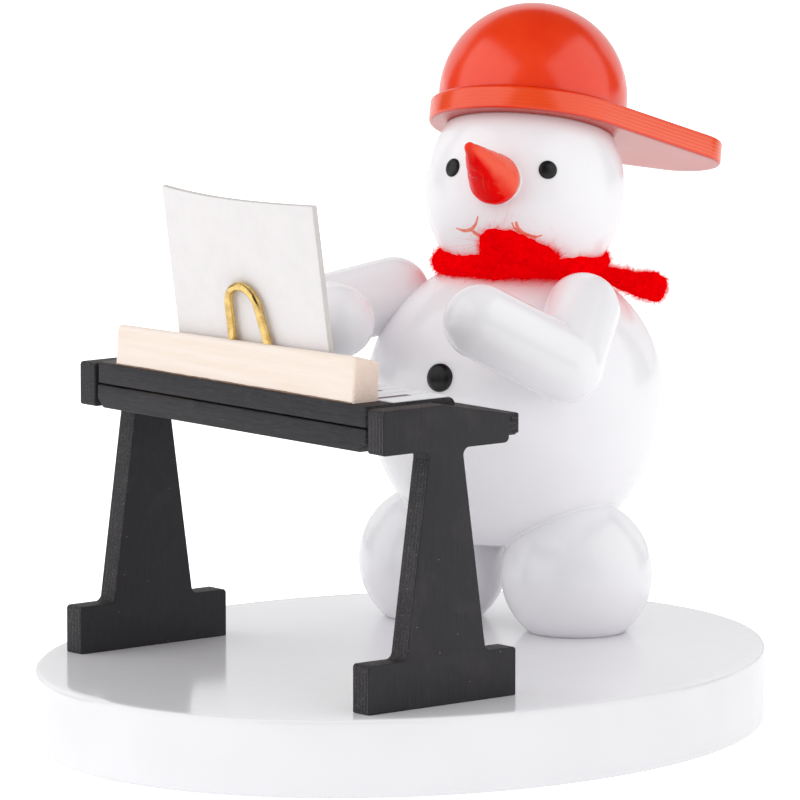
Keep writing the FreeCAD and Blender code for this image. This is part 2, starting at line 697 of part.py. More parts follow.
def make_card():
    """Stiff card: flat in the slot, bowed away from the player towards its top."""
    card = body("card_blank")
    half_wide, half_thick = ".card_wide / 2", ".card_thick / 2"
    foot = sketch(card, "XY_Plane", "card_foot",
                  Placement(Vector(0, 0, size(".card_tongue")), Rotation()))
    foot.setExpression("AttachmentOffset.Base.z", linked(".card_tongue"))
    outline(foot, [("-" + half_wide, "-" + half_thick), (half_wide, "-" + half_thick),
                   (half_wide, half_thick), ("-" + half_wide, half_thick)])
    pad(card, foot, ".card_tongue", reverse=True)
    top = sketch(card, "XY_Plane", "card_top",
                 Placement(Vector(0, 0, size(".card_high")), Rotation()))
    top.setExpression("AttachmentOffset.Base.z", linked(".card_high"))
    wide, thick, bow = size(half_wide), size(half_thick), size(".card_bow")

    def bowed(level):
        ends = Vector(-wide, level, 0), Vector(wide, level, 0)
        return Part.Arc(ends[0], Vector(0, level - bow, 0), ends[1])

    lower, upper = bowed(-thick), bowed(thick)
    top.addGeometry([lower, Part.LineSegment(Vector(wide, -thick, 0), Vector(wide, thick, 0)),
                     upper, Part.LineSegment(Vector(-wide, thick, 0),
                                             Vector(-wide, -thick, 0))], False)
    for first, first_end, second, second_end in ((0, 2, 1, 1), (1, 2, 2, 2),
                                                 (2, 1, 3, 1), (3, 2, 0, 1)):
        top.addConstraint(Sketcher.Constraint("Coincident", first, first_end,
                                              second, second_end))
    for geometry, end, across, up in (
            (0, 1, "-" + half_wide, "-" + half_thick), (1, 1, half_wide, "-" + half_thick),
            (1, 2, half_wide, half_thick), (3, 1, "-" + half_wide, half_thick)):
        pin_point(top, geometry, end, across, up)
    sweep = "(pow(.card_wide / 2; 2) + pow(.card_bow; 2)) / (2 * .card_bow)"
    for geometry in (0, 2):
        index = top.addConstraint(Sketcher.Constraint("Radius", geometry, size(sweep)))
        top.setExpression("Constraints[%d]" % index, linked(sweep))
    loft = card.newObject("PartDesign::AdditiveLoft", "card_bowed")
    loft.Profile, loft.Sections, loft.Ruled = foot, [top], True
    doc.recompute()
    card.Placement = STAND.multiply(card_frame())
    return part("music_card", card)


# ---------------------------------------------------------------- assembly

def build():
    make_base()
    torso = make_body()
    for side, sign in (("left", 1), ("right", -1)):
        make_foot(side, sign, torso)
        make_arm(side, sign, torso)
    neck_dowel = make_neck_dowel()
    cap_dowel = make_cap_dowel()
    nose = make_nose()
    eyes = [make_eye("eye_left", 1), make_eye("eye_right", -1)]
    button = make_button()
    head = make_head(torso, [neck_dowel, cap_dowel, nose] + eyes)
    part("body", cut("body_drilled", torso, neck_dowel, button))
    make_brim(cap_dowel)
    make_dome(cap_dowel)
    make_scarf(torso, head)
    make_side("right", True)
    make_side("left", False)
    make_shelf()
    make_keyboard()
    make_key_sheet()
    wire = make_wire()
    make_holder(wire)
    make_card()


def check():
    """Stop on any failed object, and on any sub-part that is not one sound solid."""
    doc.recompute()
    for item in doc.Objects:
        if set(item.State) & {"Invalid", "Error"}:
            raise RuntimeError("%s (%s) failed: %s" % (item.Name, item.Label, item.State))
    for item in parts:
        shape = item.Shape
        if shape.isNull() or not shape.isValid() or len(shape.Solids) != 1:
            raise RuntimeError("%s is not one valid solid" % item.Label)


build()
check()
os.makedirs("parts", exist_ok=True)
for item in parts:
    item.Shape.exportStep(os.path.join("parts", item.Label + ".step"))
    box = item.Shape.BoundBox
    print("%-18s volume %9.2f  x %7.2f %7.2f  y %7.2f %7.2f  z %7.2f %7.2f" % (
        item.Label, item.Shape.Volume, box.XMin, box.XMax, box.YMin, box.YMax,
        box.ZMin, box.ZMax))
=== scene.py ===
from math import acos, asin, atan2, cos, degrees, hypot, pi, radians, sin, tan

import bmesh
import bpy
import numpy as np
from mathutils import Matrix, Vector, noise


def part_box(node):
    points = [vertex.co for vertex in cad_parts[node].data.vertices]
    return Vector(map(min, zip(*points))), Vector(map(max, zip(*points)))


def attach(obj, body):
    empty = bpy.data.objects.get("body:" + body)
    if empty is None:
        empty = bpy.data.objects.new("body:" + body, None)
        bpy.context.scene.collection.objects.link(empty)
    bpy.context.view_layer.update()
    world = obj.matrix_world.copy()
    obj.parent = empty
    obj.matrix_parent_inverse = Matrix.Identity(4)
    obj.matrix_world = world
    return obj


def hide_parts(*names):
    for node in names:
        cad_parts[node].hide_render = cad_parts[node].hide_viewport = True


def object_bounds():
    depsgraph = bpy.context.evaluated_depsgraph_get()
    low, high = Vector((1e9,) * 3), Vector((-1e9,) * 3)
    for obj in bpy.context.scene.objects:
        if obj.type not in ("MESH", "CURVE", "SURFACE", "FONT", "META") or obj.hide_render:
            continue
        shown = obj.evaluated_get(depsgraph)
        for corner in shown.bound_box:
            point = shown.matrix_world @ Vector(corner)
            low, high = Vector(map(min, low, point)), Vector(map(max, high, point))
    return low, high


# Looks of the wooden snowman at the keyboard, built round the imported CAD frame.
# Metres, +Z up, origin at the centre of the base's underside; MM turns millimetres into metres.

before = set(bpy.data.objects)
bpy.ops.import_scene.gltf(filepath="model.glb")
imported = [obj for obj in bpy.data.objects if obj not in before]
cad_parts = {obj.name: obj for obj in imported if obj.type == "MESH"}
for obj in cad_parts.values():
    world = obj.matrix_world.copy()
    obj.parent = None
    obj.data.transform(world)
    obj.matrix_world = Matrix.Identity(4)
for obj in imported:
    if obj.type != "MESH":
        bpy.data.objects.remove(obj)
CAD_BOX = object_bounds()
MM = 0.001
UP = Vector((0, 0, 1))
RNG = np.random.default_rng(7)

# ---------- driving values

STAND_TURN = -16.2  # keyboard stand on the base, degrees about Z
FACE_TURN, HEAD_TIP = 18.3, 18.8  # head: turned towards +X, tipped back
VISOR_TURN = 44.6  # visor: degrees from straight back, towards +X
CARD_LEAN = 8.1
WAIST = 35.7 * MM  # height of the body's widest circle
CHEST_RISE, BELLY_DROP = 15.5 * MM, 19.7 * MM
HEAD_CENTRE = Vector((-1.46, 26.88, 58.7)) * MM
HEAD_RISE = 12.4 * MM

BASE_RIM = 0.55 * MM
FOOT_HEIGHT = 15.34 * MM  # centre of the ball feet
FOOT_SWELL = 1.025  # thick lacquer on the ball feet
FOOT_SOLE = 0.3065534  # inner ring of a foot's flat underside, by the ball's radius
BELLY_LOWER = 0.65 * MM  # the lacquered belly ends this much below the CAD's
BUTTON_RADIUS, EYE_RADIUS = 1.65 * MM, 1.08 * MM
NOSE_TURN, NOSE_RISE = 15, 28
NOSE_RADIUS, NOSE_TIP, NOSE_REACH = 2.92 * MM, 0.6 * MM, 9.5 * MM
NOSE_SIDE, NOSE_DROP, MENISCUS_RADIUS = 0.5, 7.3, 2.44  # seat of the nose on the head
VISOR_RADIUS, CAP_RIM = 5.68 * MM, 0.35 * MM
ARM_RADIUS = 4.28 * MM
ARMS = [(side, *(Vector(place) * MM for place in places)) for side, *places in (
    ("left", (11.07, 19.95, 46.35), (14.7, 10.99, 41.17), (7.6, 4.41, 46.35)),
    ("right", (-15.07, 19.95, 46.35), (-20.6, 11.45, 44.4), (-12.25, 4.55, 45)))]

# stand sides, in the stand's own frame, millimetres along Y and up from the base
FOOT_BACK, FOOT_FRONT, FOOT_RISE = -29.1, -8.3, 5.4
RAIL_BACK, RAIL_FRONT, RAIL_TAPER = -27, -9.3, -18.4
RAIL_LOW, RAIL_NOSE = 28.1, 31.3
POST_LOW, POST_HIGH = 11.2, 4.65
POST_MIDDLE = (("left", -18.75), ("right", -18.2))
SIDE_CORNERS = (0, 0, 0.4, 0.8, 0.8, 0.6, 0.6, 1.2, 0.4, 0.3, 0.8, 0.8, 0.4)  # radii

BOARD_GAP = 0.36 * MM  # the boards' ends stop this short of the side panels
SHELF_CUT, BOARD_LIFT, BOARD_RELIEF = 1 * MM, 0.15 * MM, 0.3 * MM
BOARD_NOSE = 0.9  # rounding of the upper board's front edge, millimetres

# keys: the last one is wider by the paper's margin; a sharp stands on every key line but two
KEY_WIDE, LAST_KEY = 2.44 * MM, 3.4 * MM
SHARP_WIDE, SHARP_LONG = 0.95 * MM, 4.95 * MM
SHARP_PATTERN = (1, 0, 1, 1, 0, 1, 1)
LINE_HALF, INK = 0.05 * MM, 0.012 * MM

CARD_THICK, CARD_BOW, CARD_TONGUE = 0.7 * MM, 1.6 * MM, 1.5 * MM
WIRE_RADIUS, WIRE_BEND, WIRE_LEAN = 0.5 * MM, 2.6 * MM, 13.5

SCARF_CENTRE = Vector((-1.6, 26.3, 50.7)) * MM
SCARF_RING, SCARF_THICK = 8.7 * MM, 1.4 * MM
KNOT_TURN, TAIL_TURN = 25.8, 124.5
# lump in front: steps out from the ring, along it and up, and the strand's thickness there
KNOT_LINE = ((0.5, -1.9, 0.3, 0.85), (0.9, -2, 1.9, 0.95), (1.1, -2.1, 4.05, 0.68),
             (1.1, -0.3, 3.4, 1.15), (1.1, 1, 2.7, 1.25), (1, 2.5, 1.9, 1.05),
             (0.7, 3.9, 1.2, 0.95), (0.3, 5.2, 0.6, 0.7))
# loose end: steps away from the ring and down, then its thickness along its length
TAIL_LINE = ((0, 0), (2.2, 0.4), (4.4, 1.1), (6.2, 1.5), (8.2, 2))
TAIL_THICK = ((0, 0.3, 0.7, 0.85, 0.95, 1), (0.65, 0.75, 1.1, 1.2, 1, 0.55))
# wool: name, count, shortest and longest, radius, lift off the strand, curl, sections
WOOL = (("wool_nap", 14000, (0.4, 1.1), 0.021, 0.45, 2.2, 4),
        ("wool_fuzz", 7500, (0.8, 2.1), 0.012, 0.45, 3.8, 7),
        ("wool_strays", 900, (2, 6), 0.009, 0.5, 4.6, 14))

DEGREES_PER_MM = 4.9  # on the head's surface
# mouth strokes: degrees across and up on the head, then widths in millimetres
MOUTH = (
    (((-34, -33.6), (-27.5, -35.6), (-21, -35.4)), (0.15, 0.5, 0.55)),
    (((-21, -35.4), (-16.5, -32.5), (-13.7, -27.7)), (0.55, 0.45, 0.2)),
    (((-21, -35.4), (-17, -38.2), (-12.7, -41)), (0.55, 0.55, 0.4)),
    (((11.6, -30.3), (13.2, -34), (17.6, -36.8), (25.6, -38), (30.5, -36.4)),
     (0.4, 0.5, 0.45, 0.3, 0.12)),
    (((8.9, -30.8), (11, -34.2), (15.5, -36.6)), (0.2, 0.25, 0.2)),
)
STROKE = ((-1, -0.01), (-0.6, 0.016), (0, 0.03), (0.6, 0.016), (1, -0.01), (0, -0.05))

CAMERA_SPOT = (34.451, 7.815, 0.9196946)  # azimuth, elevation, distance
CAMERA_TARGET = Vector((-0.303, -0.2078, 37.411)) * MM
CAMERA_LENS, SENSOR = 367.4, 36
LIGHT_TARGET = Vector((0, 0, 35)) * MM
# name, (azimuth, elevation, distance), (width, height), power, lights more than reflections
LIGHTS = (
    ("softbox_left", (-38, 29, 0.75), (1.13, 0.86), 2.35, True),
    ("softbox_right", (107, 29, 0.75), (1.13, 0.86), 1.28, True),
    ("sheen_left", (-38, 29, 0.82), (1.24, 0.94), 1.6, False),
    ("sheen_right", (107, 29, 0.82), (1.24, 0.94), 2.5, False),
    ("backdrop_light", (214, 20, 1), (2.2, 0.7), 4, False),
)
AMBIENT, FLOOR_GLOW, FLOOR_SEEN = 0.74, 0.27, 0.7
FLOOR_RADIUS, FLOOR_DROP = 20, 0.0002

WHITE = (0.89, 0.88, 0.907)
SHARP_ANGLE = 28  # edges sharper than this are eased, degrees


# ---------- frames

def heading(turn, rise=0):
    """Unit vector turned from -Y towards +X and raised, in degrees."""
    turn, rise = radians(turn), radians(rise)
    return Vector((sin(turn) * cos(rise), -cos(turn) * cos(rise), sin(rise)))


def basis(origin, x_axis, z_axis):
    """Frame with a given Z axis, and its X axis as near as it can be."""
    z_axis = z_axis.normalized()
    x_axis = (x_axis - z_axis * x_axis.dot(z_axis)).normalized()
    turn = Matrix((x_axis, z_axis.cross(x_axis), z_axis)).transposed().to_4x4()
    return Matrix.Translation(origin) @ turn


def aim(origin, z_axis):
    side = Vector((1, 0, 0)) if abs(z_axis.normalized().x) < 0.9 else Vector((0, 1, 0))
    return basis(origin, side, z_axis)


def rotation(angle, axis):
    return Matrix.Rotation(radians(angle), 4, axis)


def cad_points(node, matrix=Matrix()):
    inverse = matrix.inverted()
    return [inverse @ v.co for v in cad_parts[node].data.vertices]


def local_box(node, matrix=Matrix()):
    """Lowest and highest corner of a CAD node, measured in a given frame."""
    points = np.array(cad_points(node, matrix))
    return Vector(points.min(axis=0)), Vector(points.max(axis=0))


STAND = rotation(STAND_TURN, "Z")
CARD = STAND @ rotation(CARD_LEAN, "X")
HEAD_AXIS = (UP * cos(radians(HEAD_TIP)) - heading(FACE_TURN) * sin(radians(HEAD_TIP)))
HEAD = basis(HEAD_CENTRE, heading(FACE_TURN), HEAD_AXIS)  # X towards the face
CAP = HEAD @ rotation(180 - VISOR_TURN, "Z")  # X along the visor
HEAD_LOW, HEAD_HIGH = local_box("head", HEAD)
HEAD_RADIUS = (HEAD_HIGH.y - HEAD_LOW.y) / 2
BODY_LOW, BODY_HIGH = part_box("body")
BODY_RADIUS = (BODY_HIGH.x - BODY_LOW.x) / 2
BODY_CENTRE = (BODY_LOW + BODY_HIGH) / 2
BODY_CENTRE.z = WAIST
BODY_FLOOR = BODY_LOW.z - BELLY_LOWER


# ---------- mesh helpers

def link(name, data):
    item = bpy.data.objects.new(name, data)
    bpy.context.collection.objects.link(item)
    return item


def to_mesh(name, bm, smooth=60):
    """Outward normals and smooth shading, with edges kept where they are sharp."""
    bmesh.ops.recalc_face_normals(bm, faces=bm.faces)
    for face in bm.faces:
        face.smooth = True
    for edge in bm.edges:
        edge.smooth = edge.calc_face_angle(0) < radians(smooth)
    mesh = bpy.data.meshes.new(name)
    bm.to_mesh(mesh)
    bm.free()
    return mesh


def piece(name, shape, coat, slot, *nodes, smooth=60, body="figure"):
    """Add a bmesh or mesh as a piece that stands for CAD nodes, or for none."""
    if isinstance(shape, bmesh.types.BMesh):
        shape = to_mesh(name, shape, smooth)
    item = link(name, shape)
    shape.materials.append(coat)
    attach(item, body)
    if nodes:
        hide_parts(*nodes)
    return item


def turns(count):
    return np.linspace(0, 2 * pi, count, endpoint=False)


def pairs(items):
    return zip(items, items[1:] + items[:1])


def skin(bm, near, far):
    """Faces between two loops of vertices."""
    for (a, b), (c, d) in zip(pairs(near), pairs(far)):
        bm.faces.new((a, b, d, c))


def close_prism(bm, near, far):
    bm.faces.new(near[::-1])
    bm.faces.new(far)
    skin(bm, near, far)


def rings_to_bmesh(rings, matrix=Matrix()):
    """Skin between rings of points, closed by a fan at each end."""
    bm = bmesh.new()
    loops = [[bm.verts.new(matrix @ Vector(p)) for p in ring] for ring in rings]
    for low, high in zip(loops, loops[1:]):
        skin(bm, low, high)
    for ring, order in ((loops[0], -1), (loops[-1], 1)):
        centre = bm.verts.new(sum((v.co for v in ring), Vector()) / len(ring))
        for a, b in pairs(ring):
            bm.faces.new((a, b, centre)[::order])
    return bm


def upright(bm, outline, low, high):
    close_prism(bm, *([bm.verts.new((*spot, z)) for spot in outline] for z in (low, high)))


def rectangle(left, right, low, high):
    return (left, low), (right, low), (right, high), (left, high)


def lathe(profile, matrix=Matrix(), segments=160):
    """Turned shape: (radius, height) pairs spun about the local Z axis."""
    rings = [[(r * cos(a), r * sin(a), z) for a in turns(segments)] for r, z in profile]
    return rings_to_bmesh(rings, matrix)


def arc(radius_across, radius_along, start, end, steps, centre=0):
    """(radius, height) pairs along an elliptic arc, by latitude in degrees."""
    angles = [radians(start + (end - start) * i / steps) for i in range(steps + 1)]
    return [(radius_across * cos(a), centre + radius_along * sin(a)) for a in angles]


def plate(outline, low, high, radius, matrix=Matrix(), inner=(0.4, 1.2)):
    """Plate with rounded rims; its outline is a function of the inset."""
    steps = 5
    quarter = [radians(90 * i / steps) for i in range(steps + 1)]
    levels = [(radius * (1 - sin(a)), low + radius * (1 - cos(a))) for a in quarter]
    levels += [(radius * (1 - cos(a)), high - radius * (1 - sin(a))) for a in quarter]
    rings = [[(x, y, z) for x, y in outline(inset)] for inset, z in levels]
    for step in inner:
        rings.insert(0, [(x, y, low) for x, y in outline(radius + step * MM)])
        rings.append([(x, y, high) for x, y in outline(radius + step * MM)])
    return rings_to_bmesh(rings, matrix)


def ease(bm, edges, offset, segments, clamp=False):
    """Round some edges of a bmesh, the offset in millimetres."""
    bmesh.ops.bevel(bm, geom=edges, offset=offset * MM, segments=segments, profile=0.5,
                    affect="EDGES", clamp_overlap=clamp)


def sharp_edges(bm, angle=SHARP_ANGLE):
    return [e for e in bm.edges if e.calc_face_angle(0) > radians(angle)]


def prism(outline, start, end, axes, bevel, segments=3):
    """Board cut to an outline and run out along a third axis, arrises eased."""
    bm = bmesh.new()
    loops = []
    for level in (start, end):
        loops.append([])
        for spot in outline:
            place = Vector()
            for axis, value in zip(axes, (*spot, level)):
                place[axis] = value
            loops[-1].append(bm.verts.new(place))
    for loop in loops:
        bm.faces.new(loop)
    skin(bm, *loops)
    bmesh.ops.recalc_face_normals(bm, faces=bm.faces)
    ease(bm, sharp_edges(bm), bevel, segments, True)
    return bm


def tube(points, radii, segments=20, matrix=Matrix()):
    """Skin round a path, carried along it without a twist."""
    points = [Vector(p) for p in points]
    rings = []
    side = None
    for i, place in enumerate(points):
        along = (points[min(i + 1, len(points) - 1)] - points[max(i - 1, 0)]).normalized()
        if side is None:
            side = along.orthogonal().normalized()
        side = (side - along * side.dot(along)).normalized()
        other = along.cross(side)
        rings.append([place + (side * cos(a) + other * sin(a)) * radii[i]
                      for a in turns(segments)])
    return rings_to_bmesh(rings, matrix)


def bead(name, path, thick, uneven, scale, coat, slot, segments=12, matrix=None):
    """Uneven bead along a path, which is closed unless it has a frame."""
    radii = [(thick + uneven * noise.noise(Vector(p) / (scale * MM))) * MM for p in path]
    if matrix is None:
        path, radii, matrix = path + path[:2], radii + radii[:2], Matrix()
    piece(name, tube(path, radii, segments, matrix), coat, slot)


def roughen(bm, amount, scale, seed=0):
    """Hand-made unevenness: smooth noise, in millimetres."""
    bm.normal_update()
    for vert in bm.verts:
        place = vert.co / (scale * MM) + Vector((seed, 2 * seed, 3 * seed))
        vert.co += vert.normal * noise.noise(place) * amount * MM


def cut(bm, place, normal):
    """Cut off what lies beyond a plane, close the cut and give back its rim."""
    bmesh.ops.bisect_plane(bm, geom=bm.verts[:] + bm.edges[:] + bm.faces[:], plane_co=place,
                           plane_no=normal, clear_outer=True)
    filled = bmesh.ops.holes_fill(bm, edges=[e for e in bm.edges if e.is_boundary])
    return list({edge for face in filled["faces"] for edge in face.edges})


# ---------- materials

def add_node(tree, kind, output, inputs, **settings):
    """Add a node, fill its inputs with values or links, give back one output."""
    node = tree.nodes.new("ShaderNode" + kind)
    for key, value in settings.items():
        setattr(node, key, value)
    for socket, value in inputs.items():
        if isinstance(value, bpy.types.NodeSocket):
            tree.links.new(value, node.inputs[socket])
        else:
            node.inputs[socket].default_value = value
    return node.outputs[output]


class Finish:
    """A procedural material built round one Principled shader."""

    def __init__(self, name, **sockets):
        self.material = bpy.data.materials.new(name)
        self.material.use_nodes = True
        self.tree = self.material.node_tree
        self.shader = self.tree.nodes["Principled BSDF"]
        for socket, value in sockets.items():
            self.shader.inputs[socket.replace("_", " ")].default_value = value
        self.body = self.relief = None

    def node(self, *parts, **settings):
        return add_node(self.tree, *parts, **settings)

    def feed(self, value, socket):
        self.tree.links.new(value, self.shader.inputs[socket])

    def place(self, matrix=Matrix(), stretch=(1, 1, 1)):
        """Position on the object in millimetres, in a frame, stretched along its axes."""
        inverse = matrix.inverted()
        turned = self.node("Mapping", "Vector", {
            "Vector": self.node("TexCoord", "Object", {}),
            "Location": inverse.to_translation(), "Rotation": inverse.to_euler()})
        return self.node("Mapping", "Vector", {"Vector": turned,
                                               "Scale": [s / MM for s in stretch]})

    def noise(self, place, size, detail=3, roughness=0.55, distortion=0):
        """Noise from 0 to 1 with features of a size in millimetres."""
        return self.node("TexNoise", "Fac", {
            "Vector": place, "Scale": 1 / size, "Detail": detail, "Roughness": roughness,
            "Distortion": distortion})

    def bands(self, place, size, axis, distortion):
        """Soft stripes across an axis, their period in millimetres."""
        return self.node("TexWave", "Fac", {
            "Vector": place, "Scale": 0.314 / size, "Distortion": distortion,
            "Detail Scale": 0.5}, wave_type="BANDS", bands_direction=axis)

    def specks(self, place, size, radius):
        """1 in small dots scattered one to a cell, else 0."""
        cells = self.node("TexVoronoi", "Distance", {"Vector": place, "Scale": 1 / size})
        return self.remap(cells, radius / size, 0.6 * radius / size)

    def remap(self, value, low, high, to_low=0, to_high=1):
        return self.node("MapRange", "Result", {"Value": value, "From Min": low,
                                                "From Max": high, "To Min": to_low,
                                                "To Max": to_high})

    def math(self, operation, *values):
        return self.node("Math", "Value", dict(enumerate(values)), operation=operation,
                         use_clamp=True)

    def factor(self, value):
        """A tuple is a pattern and the ranges to remap it from and to."""
        return self.remap(*value) if isinstance(value, tuple) else value

    def times(self, first, *others):
        for other in others:
            first = self.math("MULTIPLY", self.factor(first), self.factor(other))
        return first

    def split(self, place, axis):
        return self.node("SeparateXYZ", axis, {0: place})

    def dot(self, direction):
        """How far the surface faces along a direction, from -1 to 1."""
        normal = self.node("TexCoord", "Normal", {})
        return self.node("VectorMath", "Value", {0: normal, 1: direction}, operation="DOT_PRODUCT")

    def facing(self, direction, low=0.5, high=0.8):
        """1 where the surface faces along or against a direction."""
        return self.remap(self.math("ABSOLUTE", self.dot(direction)), low, high)

    def mix(self, factor, first, second):
        """Base colour between two others, each a tuple or a socket."""
        ends = [(*c, 1) if isinstance(c, tuple) else c for c in (first, second)]
        self.body = self.node("Mix", 2, {"Factor": self.factor(factor), 6: ends[0],
                                         7: ends[1]}, data_type="RGBA")
        self.feed(self.body, "Base Color")

    def layer(self, factor, colour):
        self.mix(factor, self.body, colour)

    def roughness(self, pattern, smooth, rough):
        self.feed(self.remap(pattern, 0.3, 0.7, smooth, rough), "Roughness")

    def bump(self, height, depth):
        """Add relief, its depth in millimetres, to any already there."""
        inputs = {"Height": height, "Distance": depth * MM}
        if self.relief:
            inputs["Normal"] = self.relief
        self.relief = self.node("Bump", "Normal", inputs)
        self.feed(self.relief, "Normal")


def scaled(colour, *factors):
    """A colour times one factor or three."""
    return tuple(c * f for c, f in zip(colour, factors * (3 // len(factors))))


def grain_stretch(axis, amount):
    return [amount if a == axis else 1 for a in "XYZ"]


def white_lacquer(name="white_lacquer", along=Matrix(), shade=1.03, rough=0.17, top=None):
    """White gloss lacquer, brushed along the Z axis of a frame."""
    look = Finish(name, IOR=1.45, Coat_Weight=0.15, Coat_Roughness=0.12)
    place = look.place(along)
    strokes = look.noise(look.place(along, (1, 1, 0.06)), 0.45, 2)
    patches = look.noise(place, 9, 1)
    marks = look.specks(place, 6.5, 0.14)
    look.mix((patches, 0.3, 0.7), scaled(WHITE, 0.975 * shade), scaled(WHITE, shade))
    # painted highlight: with top given, faces that turn up are painted lighter, standing in for
    # the light falling on them
    if top:
        look.layer((look.dot(UP), 0.5, 0.95), scaled(WHITE, top))
    look.layer((strokes, 0.55, 0.8, 0, 0.08), (0.8, 0.8, 0.83))
    look.layer(look.times(marks, 0.35), (0.45, 0.43, 0.42))
    look.roughness(strokes, rough, rough + 0.03)
    look.bump(strokes, 0.003)
    look.bump(look.noise(place, 3.5, 1), 0.012)
    return look.material


def cap_lacquer():
    """Orange-red gloss lacquer; the brim's plies show through as fine lines."""
    look = Finish("cap_lacquer", IOR=1.47, Coat_Weight=0.46, Coat_Roughness=0.2)
    place = look.place(CAP)
    on_edge = look.remap(look.facing(HEAD_AXIS, 0.15, 0.45), 0, 1, 1, 0)
    brim = look.remap(look.split(place, "Z"), 9.65, 9.5)
    visor = look.remap(look.split(place, "X"), -3, 9, 0.25, 1)
    lines = look.times(look.bands(place, 0.42, "Z", 0.6), on_edge, brim, visor)
    patches = look.noise(place, 5, 3)
    look.mix((patches, 0.3, 0.75), (0.83, 0.031, 0), (0.89, 0.045, 0))
    # painted shade: faces that turn down from the head's axis, such as the visor's underside, are
    # painted darker
    look.layer((look.dot(-HEAD_AXIS), 0.5, 0.9, 0, 0.85), (0.42, 0.01, 0))
    look.layer(look.times(on_edge, brim, 0.35), (0.86, 0.1, 0.012))
    look.layer(look.times(lines, 0.4), (0.88, 0.17, 0.05))
    look.roughness(patches, 0.22, 0.27)
    look.bump(lines, 0.012)
    return look.material


def nose_lacquer(along):
    """Thick glossy red, dipped unevenly: paler patches and darker runs."""
    look = Finish("nose_lacquer", IOR=1.45, Specular_IOR_Level=0.05)
    runs = look.noise(look.place(along, (1, 1, 0.35)), 1.3, 4, 0.6, 0.8)
    spots = look.noise(look.place(along, (1, 1, 0.6)), 0.7, 3)
    height = look.split(look.place(along), "Z")
    look.mix((runs, 0.57, 0.74, 0, 0.6), (0.9, 0, 0), (0.92, 0.11, 0.055))
    look.layer((spots, 0.5, 0.7, 0, 0.25), (0.46, 0, 0))
    # painted highlight: the side that faces the right-hand lamp is painted paler
    look.layer((look.dot(heading(110, 10)), 0.45, 0.85, 0, 0.8), (0.92, 0.15, 0.085))
    look.layer((height, 8.2, 9.6, 0, 0.75), (0.88, 0.06, 0.03))
    look.roughness(spots, 0.18, 0.3)
    look.bump(runs, 0.02)
    return look.material


def black_stain(name, grain_axis, ply_axis, streaks):
    """Black satin stain on plywood: the plies, stacked along one axis, show on its edges."""
    look = Finish(name, IOR=1.45, Specular_IOR_Level=0.3)
    place = look.place(STAND)
    along = look.place(STAND, grain_stretch(grain_axis, 0.07))
    grain = look.noise(along, 0.35, 4, 0.65)
    fine = look.noise(along, 0.12, 3, 0.6)
    patches = look.noise(place, 4, 3)
    pores = look.noise(place, 0.2, 2)
    edges = look.facing(STAND.to_3x3() @ Vector((1, 0, 0)), 0.3, 0.6)
    if ply_axis == "X":
        edges = look.math("SUBTRACT", 1, edges)
    uneven = look.remap(look.noise(place, 6, 2, 0.5, 0.6), 0.42, 0.6, 0.15, 1)
    plies = look.remap(look.bands(place, 0.55, ply_axis, 2), 0.6, 0.95)
    lines = look.times(plies, edges, (grain, 0.35, 0.6, 0.25, 1), uneven)
    # painted highlight: upward faces are painted a lighter brown in patches, standing in for the
    # light falling on them
    painted_top_highlight = look.times((look.dot(UP), 0.3, 0.8), (patches, 0.45, 0.65, 0.05, 0.4))

    look.mix((grain, 0.35, 0.72, 0.5 - streaks / 2, 0.5 + streaks / 2), (0.01, 0.009, 0.011),
             (0.04, 0.037, 0.042))
    look.layer((patches, 0.55, 0.8, 0, 0.5), (0.05, 0.045, 0.046))
    look.layer((fine, 0.52, 0.72, 0, 0.6 * streaks), (0.07, 0.066, 0.07))
    look.layer(painted_top_highlight, (0.105, 0.078, 0.065))
    look.layer(look.times(look.specks(place, 1.6, 0.065), 0.6), (0.45, 0.44, 0.46))
    look.layer(look.times(lines, 0.8), (0.085, 0.08, 0.085))
    look.layer(look.times((pores, 0.55, 0.68, 0, 0.5), edges), (0.13, 0.122, 0.12))
    look.roughness(grain, 0.42, 0.6)
    for height, depth in ((look.times(pores, edges), 0.16), (lines, 0.05), (grain, 0.05),
                          (fine, 0.03)):
        look.bump(height, depth)
    return look.material


def raw_wood(name, pale, dark, grain_axis="X", matrix=STAND):
    """Sanded unpainted wood, with a pinkish end grain."""
    look = Finish(name, Roughness=0.6, Specular_IOR_Level=0.3)
    along = look.place(matrix, grain_stretch(grain_axis, 0.05))
    grain = look.noise(along, 0.9, 4, 0.6, 0.4)
    fine = look.noise(along, 0.18, 3)
    pores = look.noise(look.place(matrix), 0.35, 3)
    axis = matrix.to_3x3() @ Vector([float(a == grain_axis) for a in "XYZ"])
    ends = look.times(look.facing(axis), (pores, 0.3, 0.7, 0.3, 1))
    look.mix((grain, 0.35, 0.75), pale, dark)
    look.layer((fine, 0.5, 0.8, 0, 0.4), dark)
    look.layer(ends, scaled(dark, 1.05, 0.95, 0.95))
    look.bump(fine, 0.02)
    look.bump(look.times(pores, ends), 0.06)
    return look.material


def mottled(name, first, second, size, low, high, detail=3, texture=0.55, matrix=STAND,
            rough=None, relief=0, tooth=(), **sockets):
    """Finish that wanders between two colours in patches of a given size.

    The patches can also set its roughness and stand in relief; tooth lists finer relief."""
    look = Finish(name, **sockets)
    place = look.place(matrix)
    patches = look.noise(place, size, detail, texture)
    look.mix((patches, low, high), first, second)
    if rough:
        look.roughness(patches, *rough)
    if relief:
        look.bump(patches, relief)
    for fine, depth in tooth:
        look.bump(look.noise(place, fine), depth)
    return look


